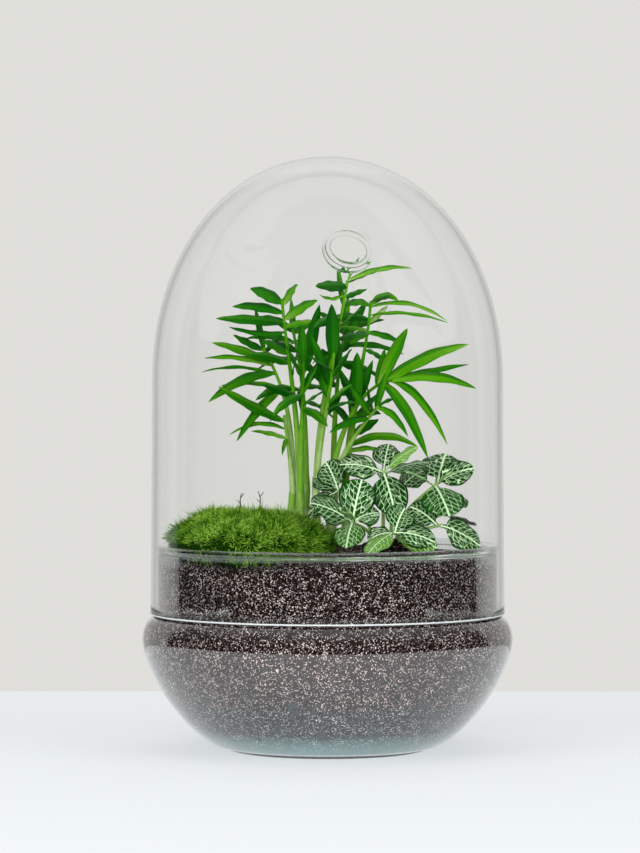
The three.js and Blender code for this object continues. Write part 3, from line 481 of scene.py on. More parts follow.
def grainy(name, dark, light, grain, painted_reflection=None):
    """Crumbs of two colours and fine pale grains, grain of them on a metre. A pale teal, if one is given,
    takes over near the bottom: a painted reflection of the white table in the bowl's lower wall.
    """
    material, nodes, shader = finish(name, dark, 0.85, {"Specular IOR Level": 0.06})
    place = add(nodes, "TexCoord").outputs["Object"]
    crumbs = add(nodes, "TexVoronoi", {"Vector": place, "Scale": grain})
    clumps = add(nodes, "TexNoise", {"Vector": place, "Scale": 160, "Detail": 3})
    draw = add(nodes, "SeparateColor", {0: crumbs.outputs["Color"]}).outputs["Red"]
    marks = [(at, [d + (l - d) * mix for d, l in zip(dark, light)]) for at, mix in CRUMB_MIXES]
    darken = moved(nodes, clumps.outputs["Fac"], (0.38, 0.62), (0.65, 1.2))
    colour = mixed(nodes, 1, shaded(nodes, draw, marks), darken, "MULTIPLY")
    # Painted reflection: paler and teal towards the bottom of the bowl.
    if painted_reflection:
        height = add(nodes, "SeparateXYZ", {0: place}).outputs["Z"]
        painted_reflection_share = moved(nodes, height, (0.004, 0.015), (0.9, 0))
        colour = mixed(nodes, painted_reflection_share, colour, (*painted_reflection, 1))
    relief = {"Height": crumbs.outputs["Distance"], "Strength": 0.9, "Distance": 0.0006}
    bump = add(nodes, "Bump", relief, invert=True)
    feed(shader, {"Base Color": colour, "Normal": bump.outputs[0]})
    return material


def poured_soil(columns):
    """The soil's skin: out over the gravel, up the lining and back over its top, roughened by crumbs."""
    angle = np.linspace(0, 2 * np.pi, columns, endpoint=False)
    under_r = np.linspace(0.001, 0.068, 12)[:, None]
    x, y = under_r * np.cos(angle), under_r * np.sin(angle)
    under = np.stack([x, y, gravel_top(x, y) + 0.0005], -1)
    z = np.linspace(SOIL_FOOT_Z, SOIL_EDGE_Z, 62)
    side = turned(np.stack([lining_radius(z) + SOIL_CLING, z], -1), columns)
    top_r = np.concatenate([[0.0823, 0.0816], np.linspace(0.080, 0.001, 58)])[:, None]
    x, y = top_r * np.cos(angle), top_r * np.sin(angle)
    sink = np.array([0.0016, 0.0005] + [0] * 58)[:, None]
    top = np.stack([x, y, soil_top(x, y) - sink], -1)
    rough = lumps(top, 0.0020, 3) * 0.0009 + lumps(top, 0.006, 4) * 0.0006
    top[..., 2] += rough * smooth(np.linspace(0.2, 3, len(top)))[:, None]
    return np.concatenate([under, side, top])


soil_mix = grainy("soil", (0.011, 0.0020, 0.0014), (0.95, 0.77, 0.76), 2050)
soil = skin("poured_soil", poured_soil(400), [soil_mix])
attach(soil, "root")
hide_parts("potting_soil")

# Drainage gravel: worn dark grey river pebbles, poured in first and pressed against the glass, with fine grit
# between them. At the very bottom the grit turns pale teal: a painted reflection of the white table in the
# glass.
PEBBLE_COUNT = 330
PEBBLE_SIZE = (0.0032, 0.0062)
PEBBLE_FORM = np.array([1, 0.75, 0.55])
PEBBLES_Z = (0.0125, 0.031)
STRAY_PEBBLES_Z = (0.031, 0.047)
PEBBLE_SUNK = (0.0001, 0.00038)
SLATE_SHADES = ((0.35, (0.006, 0.011, 0.014)), (0.75, (0.05, 0.068, 0.078)))
GRIT_CLING = 0.0001
GRIT_FLOOR_Z = 0.0050
GRIT_TOP_Z = 0.0285


def pebbles(count, rng):
    """
    Worn pebbles whose flattest side lies on the bowl's lining, in loose rows up to the soil. Each is a cube's
    skin of 3 x 3 quads a side, blown up to a ball and bent by smooth noise.
    """
    grid = np.stack(np.meshgrid(*[np.linspace(-1, 1, 4)] * 3, indexing="ij"), -1).reshape(-1, 3)
    on_skin = np.abs(grid).max(axis=1) > 0.99
    cube = np.round(grid[on_skin], 6)
    number = (np.cumsum(on_skin) - 1).reshape(4, 4, 4)
    quads = []
    for axis in range(3):
        for end in (0, -1):
            side = np.take(number, end, axis)
            ring = np.stack([side[:-1, :-1], side[1:, :-1], side[1:, 1:], side[:-1, 1:]], -1).reshape(-1, 4)
            quads.append(ring if (end == -1) != (axis == 1) else ring[:, ::-1])
    ball = unit(cube)
    turn = rng.uniform(0, 2 * np.pi, count)
    z = rng.uniform(*PEBBLES_Z, count)
    z[: count // 7] = rng.uniform(*STRAY_PEBBLES_Z, count // 7)
    size = rng.uniform(*PEBBLE_SIZE, (count, 1)) * PEBBLE_FORM
    size = size * rng.uniform(0.85, 1.15, (count, 3))
    radius = lining_radius(z)
    slope = (lining_radius(z + 0.001) - lining_radius(z - 0.001)) / 0.002
    out = unit(np.stack([np.cos(turn), np.sin(turn), -slope], -1))
    around = np.stack([-np.sin(turn), np.cos(turn), 0 * turn], -1)
    up = np.cross(around, out)
    roll = rng.uniform(-0.6, 0.6, count)[:, None]
    wide = around * np.cos(roll) + up * np.sin(roll)
    tall = np.cross(out, wide)
    spot = np.stack([radius * np.cos(turn), radius * np.sin(turn), z], -1)
    spot -= out * (size[:, 2:] - rng.uniform(*PEBBLE_SUNK, (count, 1)))
    apart = 7.0 * np.arange(count)[:, None, None]
    shape = ball[None] * (1 + 0.12 * lumps(ball[None] + apart, 0.9, 5)[..., None])
    shape = np.sign(shape) * np.abs(shape) ** 0.85
    points = (
        spot[:, None]
        + shape[..., :1] * (wide * size[:, :1])[:, None]
        + shape[..., 1:2] * (tall * size[:, 1:2])[:, None]
        + shape[..., 2:] * (out * size[:, 2:])[:, None]
    )
    return points, np.concatenate(quads)


def crowd(name, shapes, faces, materials, tints=None):
    """Many copies of one kind of shape, as count x points x 3, all with the same faces."""
    count, size = shapes.shape[:2]
    loops = (faces[None] + (np.arange(count) * size)[:, None, None]).reshape(-1)
    sizes = np.full(count * len(faces), faces.shape[1])
    return body(name, shapes.reshape(-1, 3), loops, sizes, materials, tints=tints)


rng = np.random.default_rng(11)
slate, nodes, shader = finish("slate", (0.03, 0.04, 0.045), 0.6)
place = add(nodes, "TexCoord").outputs["Object"]
dust = add(nodes, "TexNoise", {"Vector": place, "Scale": 700, "Detail": 4}).outputs["Fac"]
feed(shader, {"Base Color": shaded(nodes, dust, SLATE_SHADES)})
shapes, faces = pebbles(PEBBLE_COUNT, rng)
gravel = crowd("drainage_pebbles", shapes, faces, [slate])
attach(gravel, "root")
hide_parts("drainage_gravel")

z = np.linspace(GRIT_FLOOR_Z + 0.0002, GRIT_TOP_Z, 24)
side = np.stack([lining_radius(z) + GRIT_CLING, z], -1)
bed = np.concatenate([[[0.001, GRIT_FLOOR_Z], [0.030, GRIT_FLOOR_Z]], side, [[0.001, GRIT_TOP_Z]]])
# Its last colour, a pale teal, is the painted reflection near the bottom.
grit_mix = grainy("grit", (0.010, 0.009, 0.009), (0.80, 0.78, 0.82), 2050, (0.40, 0.65, 0.67))
grit = skin("gravel_grit", turned(bed, 200), [grit_mix])
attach(grit, "root")
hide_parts("drainage_gravel")

# Root balls: each plant came in a small pot, and its plug of peat and fine roots was set into the soil. Its
# rounded top is the darkest ground between the plants: partly the peat's own dark colour, partly painted
# shade from the plants above it. A ball has its place, radius, top and bottom.
ROOT_BALLS = {
    "palm_root_ball": (-0.004, 0.016, 0.019, 0.108, 0.062),
    "nerve_root_ball": (0.030, -0.014, 0.015, 0.107, 0.064),
}
# Darker than the soil and with few pale grains: partly the peat's own colour, partly painted shade under the
# plants.
peat = grainy("peat", (0.006, 0.004, 0.0035), (0.20, 0.15, 0.13), 1000)
for node, (x, y, radius, top_z, floor_z) in ROOT_BALLS.items():
    shape = np.array(
        [
            [0.001, floor_z],
            [0.70 * radius, floor_z],
            [0.76 * radius, floor_z + 0.002],
            [radius, top_z - 0.009],
            [0.9 * radius, top_z - 0.0035],
            [0.5 * radius, top_z - 0.0006],
            [0.001, top_z],
        ]
    )
    plug = turned(rounded(shape, 12), 120)
    plug += (x, y, 0)
    plug[..., 2] += 0.0009 * lumps(plug, 0.0018, 6) * smooth((plug[..., 2] - floor_z - 0.03) / 0.01)
    plug = skin(node.replace("root_ball", "peat_plug"), plug, [peat])
    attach(plug, "root")
    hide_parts(node)

# Moss: a cushion of thousands of fine shoots, pulled off as one mat and laid on the soil at the front left.
# It hangs over the collar's rim a little.
MOSS_X, MOSS_Y = -0.041, -0.031
MOSS_HALF = (0.040, 0.034)
MOSS_TOP_Z = 0.124
MOSS_LIP_Z = 0.109
MOSS_CIRCLE = 0.0815
MOSS_UNDER_CIRCLE = 0.0808
SHOOTS_OVER_RIM = 0.0858
SHOOTS_IN_COLLAR = 0.0826
MOSS_SHOOTS = 15000
MOSS_FRINGE = 4500
SHOOT_LENGTH = (0.0024, 0.0056)
SHOOT_THICK = (0.00018, 0.00034)
MOSS_SHADES = (
    (0, (0.004, 0.016, 0.0004)),
    (0.3, (0.014, 0.074, 0.001)),
    (0.6, (0.14, 0.32, 0.013)),
    (0.82, (0.37, 0.61, 0.085)),
    (1, (0.62, 0.74, 0.20)),
)


def attribute(nodes, name):
    """The value that a piece's own attribute has at a point."""
    return add(nodes, "Attribute", attribute_name=name).outputs["Fac"]


def moss_reach(angle, circle):
    """How far the moss reaches from its middle: an oval with three soft lobes, inside the axis's circle."""
    x, y = np.cos(angle), np.sin(angle)
    oval = 1 / np.hypot(x / MOSS_HALF[0], y / MOSS_HALF[1])
    along = MOSS_X * x + MOSS_Y * y
    to_circle = -along + np.sqrt(along**2 - (MOSS_X**2 + MOSS_Y**2 - circle**2))
    return np.minimum(oval * (1 + 0.05 * np.sin(3 * angle + 1)), to_circle)


def moss_hump(share, height):
    """How high the moss's back stands at a share of its reach: a low dome of that height."""
    return height * np.maximum(1 - share**2.6, 0) ** 0.72


def moss_back(angle, share):
    """Points of the moss mat's upper side, at a share of its reach: a low dome with waves and tufts."""
    reach = moss_reach(angle, MOSS_CIRCLE) * share
    x, y = MOSS_X + reach * np.cos(angle), MOSS_Y + reach * np.sin(angle)
    rise = moss_hump(share, MOSS_TOP_Z - MOSS_LIP_Z - 0.003)
    z = MOSS_LIP_Z - 0.0015 + rise + 0.0012 * np.sin(x / 0.007) * np.cos(y / 0.008)
    flat = np.stack([x, y, 0 * x], -1)
    z += 0.0016 * lumps(flat, 0.0075, 7) + 0.0008 * lumps(flat, 0.003, 8)
    return np.stack([x, y, z], -1)


angle = np.linspace(0, 2 * np.pi, 200, endpoint=False)[None, :]
under_share = np.array([0.01, 0.3, 0.6, 0.88])[:, None]
reach = moss_reach(angle, MOSS_UNDER_CIRCLE) * under_share
x, y = MOSS_X + reach * np.cos(angle), MOSS_Y + reach * np.sin(angle)
under = np.stack([x, y, soil_top(x, y) + 0.001], -1)
rim = moss_back(angle, np.array([[1.0]]))
rim[..., 2] = MOSS_LIP_Z - 0.0045
mat = np.concatenate([under, rim, moss_back(angle, np.linspace(1, 0.01, 60)[:, None])])
moss_green, nodes, shader = finish("moss_green", (0.10, 0.22, 0.02), 0.75, {"Specular IOR Level": 0.08})
feed(shader, {"Base Color": shaded(nodes, attribute(nodes, "tip"), MOSS_SHADES)})
# The mat under the shoots takes the moss's darkest shade: painted shade beneath the shoots.
moss = skin("moss_mat", mat, [moss_green], tints={"tip": np.full(mat.shape[:2], 0.05)})
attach(moss, "root")
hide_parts("moss_cushion")


def moss_shoots(angle, share, sink, rng):
    """
    Bent three-sided shoots with pointed ends, at an angle and a share of the mat's reach, sunk below its
    back. They lean away from the middle of their tuft, and out and down at the mat's edge.
    """
    count = len(angle)
    root = moss_back(angle, share)
    east = moss_back(angle + 1e-4, share) - root
    north = moss_back(angle, share - 1e-3) - root
    normal = unit(np.cross(east, north))
    normal[normal[:, 2] < 0] *= -1
    flat = root * (1, 1, 0)
    root[:, 2] -= sink
    edge = smooth((share - 0.75) / 0.25)[:, None]
    droop = smooth(sink / 0.004)[:, None]
    lean = np.stack([lumps(flat, 0.0045, 20 + k) for k in range(2)] + [0 * share], -1) * 1.1
    out = np.stack([np.cos(angle), np.sin(angle), 0 * angle], -1)
    way = normal * (1 - 0.8 * droop) + lean * (1 - 0.6 * droop) + 0.8 * out * edge
    way += rng.normal(0, 0.38, (count, 3))
    way[:, 2] -= 0.6 * droop[:, 0]
    way = unit(way)
    length = rng.uniform(*SHOOT_LENGTH, count) * np.where(rng.uniform(0, 1, count) > 0.9, 1.35, 1)
    thick = rng.uniform(*SHOOT_THICK, count)
    bend = rng.normal(0, 0.28, (count, 3)) + np.array([0, 0, -0.12])
    side = unit(np.cross(way, rng.normal(size=(count, 3))))
    other = np.cross(way, side)
    rings = []
    for along, width in ((-0.15, 0.9), (0.5, 0.85)):
        middle = root + way * (length * along)[:, None] + bend * (length * max(along, 0) ** 2)[:, None]
        for turn in (0, 120, 240):
            a = math.radians(turn)
            rings.append(middle + (side * math.cos(a) + other * math.sin(a)) * (thick * width)[:, None])
    rings.append(root + way * length[:, None] + bend * length[:, None])
    faces = [[2, 1, 0], [3, 4, 6], [4, 5, 6], [5, 3, 6]]
    for j, k in ((0, 1), (1, 2), (2, 0)):
        faces += [[j, k, 3 + k], [j, 3 + k, 3 + j]]
    patch = 0.5 + 0.3 * lumps(flat, 0.007, 31) + 0.4 * lumps(flat, 0.0028, 33)
    tone = 0.07 + 0.58 * patch + 0.42 * rng.uniform(0, 1, count)
    # Each shoot darkens from its tip down to its foot: partly older growth below, partly painted shade deep
    # between the shoots.
    climb = np.array([0.12] * 3 + [0.75] * 3 + [1.4])
    tips = np.clip(tone[:, None] * climb, 0, 1)
    points = np.stack(rings, 1)
    widest = np.where(points[..., 2] > RIM_Z + 0.002, SHOOTS_OVER_RIM, SHOOTS_IN_COLLAR)
    keep = ~(np.hypot(points[..., 0], points[..., 1]) > widest).any(axis=1)
    return points[keep], np.array(faces), tips[keep]


over = np.sqrt(rng.uniform(0, 1, MOSS_SHOOTS)) * 0.995
fringe = rng.uniform(0.97, 1, MOSS_FRINGE)
for name, share, depth in (("moss_shoots", over, 0), ("moss_fringe", fringe, 0.010)):
    angle = rng.uniform(0, 2 * np.pi, len(share))
    sink = rng.uniform(0, 1, len(share)) * depth
    shapes, faces, tips = moss_shoots(angle, share, sink, rng)
    shoots = crowd(name, shapes, faces, [moss_green], {"tip": tips})
    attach(shoots, "root")
    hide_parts("moss_cushion")

# Two dry sprigs stand in the moss: crooked dark twigs of dead wood with a few stubs, thinner towards their
# tips. Each is pushed into the cushion, and has its foot and its top.
SPRIGS = {
    "sprig_left": ((-0.045, -0.030, 0.114), (-0.0425, -0.030, 0.131)),
    "sprig_right": ((-0.0335, -0.032, 0.113), (-0.034, -0.032, 0.132)),
}


def tube(path, radii, sides):
    """The grid of a round rod: circles square to a path, with a radius at each of its points."""
    along = unit(np.gradient(path, axis=0))
    start = np.cross(along[0], (0.31, 0.87, 0.38))
    across = unit(start - along * (along @ start)[:, None])
    other = np.cross(along, across)
    turn = np.linspace(0, 2 * np.pi, sides, endpoint=False)[None, :, None]
    ring = across[:, None] * np.cos(turn) + other[:, None] * np.sin(turn)
    return path[:, None] + ring * np.asarray(radii)[:, None, None]


dry_bark, _, _ = finish("dry_bark", (0.030, 0.022, 0.012), 0.8)
for node, (low, high) in SPRIGS.items():
    low, high = np.array(low), np.array(high)
    share = np.linspace(0, 1, 14)
    crook = 0.0006 * np.stack([np.sin(9 * share + low[0] * 900), np.cos(7 * share), 0 * share], -1)
    path = low + (high - low) * share[:, None] + crook * share[:, None]
    grids = [tube(path, 0.0005 - 0.00032 * share, 8)]
    for i, at in enumerate((6, 9, 11)):
        hand = (-1) ** i
        reach = np.array([0.0019 * hand, -0.0006, 0.0016 + 0.0004 * i])
        stub = path[at] + np.linspace(0, 1, 5)[:, None] * reach
        grids.append(tube(stub, np.linspace(0.00026, 0.00012, 5), 6))
    sprig = skins(node + "_twig", [{"grid": grid} for grid in grids], [dry_bark])
    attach(sprig, "root")
    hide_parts(node)

# Palm seedlings: several young parlour palms in one clump. Each has a pale sheath at its foot, from which its
# arching stalks leave, with narrow pleated leaflets in pairs that meet at the tip.
PALM_GAP = 0.0026
PALM_WIDER = 1.15
PALM_FACING = np.array([0, -0.8, 0.6])
PALM_SHADES = (
    (0, (0.0008, 0.050, 0.0002)),
    (0.2, (0.006, 0.10, 0.0005)),
    (0.4, (0.020, 0.15, 0.001)),
    (0.6, (0.065, 0.25, 0.002)),
    (0.8, (0.17, 0.34, 0.04)),
    (1, (0.45, 0.55, 0.28)),
)
LEAF_SHIFTS = (0, 0.004, -0.004, 0.008, -0.008, 0.012, -0.012, 0.016, -0.016)
LEAF_LIFTS = (0, 0.003, -0.003)
DOME_GAP = 0.0025
SOIL_GAP = 0.0015
MOSS_GAP = 0.003
MOSS_PILE = 0.006
LEAVES_IN_COLLAR = 0.080
UP = np.array([0.0, 0.0, 1.0])
PALM_ROOT_TOP_Z = ROOT_BALLS["palm_root_ball"][3]
taken = []


def on_curve(curve, t):
    """Points of a cubic Bezier curve at the shares t."""
    a, b, c, d = curve
    t = np.asarray(t, float)[..., None]
    s = 1 - t
    return a * s**3 + 3 * b * s**2 * t + 3 * c * s * t**2 + d * t**3


def dome_inside(z):
    """The radius of the dome's inside at a height."""
    share = np.clip((z - DOME_SPRING_Z) / (DOME_TOP_Z - DOME_WALL - DOME_SPRING_Z), 0, 1)
    return (DOME_RADIUS - DOME_WALL) * (1 - share**DOME_CURVE) ** (1 / DOME_CURVE)


def midline(root, tip, arch, facing, steps=20):
    """
    The middle line of a blade, a parabola from its root to its tip, arched up over its middle, and its way
    across. facing is the way that its upper side turns.
    """
    s = np.linspace(0, 1, steps + 1)[:, None]
    over = (root + tip) / 2 + UP * 2 * arch
    points = root * (1 - s) ** 2 + over * 2 * s * (1 - s) + tip * s**2
    along = unit((over - root) * (1 - s) + (tip - over) * s)
    across = unit(np.cross(facing, along))
    return points, across, np.cross(along, across), s[:, 0]


def outline(line, width, shape):
    """Points of a blade that other leaves keep clear of, and their shares of its length."""
    points, across, _, s = line
    spots, shares = [], []
    for i in np.flatnonzero(s > 0.079):
        half = width / 2 * shape(s[i])
        places = [0] if half <= 0.001 else [-1, 0, 1] if half <= 0.0026 else [-1, -0.5, 0, 0.5, 1]
        spots += [points[i] + across[i] * half * place for place in places]
        shares += [s[i]] * len(places)
    return np.array(spots), np.array(shares)


def is_clear(spots, shares, gap, owner):
    """True if a leaf touches nothing. Near its own root it may touch its own plant."""
    x, y, z = spots.T
    reach = np.hypot(x, y)
    share = np.hypot((x - MOSS_X) / (MOSS_HALF[0] + MOSS_GAP), (y - MOSS_Y) / (MOSS_HALF[1] + MOSS_GAP))
    rise = moss_hump(share, MOSS_TOP_Z - MOSS_LIP_Z - 0.002)
    blocked = reach > dome_inside(z) - DOME_GAP
    blocked |= (z < RIM_Z + 0.002) & (reach > LEAVES_IN_COLLAR)
    blocked |= z < soil_top(x, y) + SOIL_GAP
    blocked |= (share < 1) & (z < MOSS_LIP_Z + MOSS_PILE + rise)
    if blocked.any():
        return False
    for other, others in taken:
        mine = spots[shares >= 0.3] if other == owner else spots
        if (((mine[:, None] - others[None]) ** 2).sum(-1) < gap * gap).any():
            return False
    return True


def settled(owner, root, tip, arch, facing, width, shape, gap, steps):
    """
    The middle line of a leaf's first clear place, or None. Its tip is moved a little back or forward, and up
    or down, until the leaf is clear of the glass, the soil, the moss and every leaf and stalk before it, as
    growing leaves make room.
    """
    for lift in LEAF_LIFTS:
        for shift in LEAF_SHIFTS:
            end = tip + np.array([0, shift, lift])
            spots, shares = outline(midline(root, end, arch, facing), width, shape)
            if is_clear(spots, shares, gap, owner):
                taken.append((owner, spots))
                return midline(root, end, arch, facing, steps)
    return None


def lance_shape(s):
    """How wide a palm leaflet is at a share of its length, as a share of its width."""
    return np.maximum(0.3 * (1 - s), 2.42 * s**0.55 * (1 - s) ** 0.75)
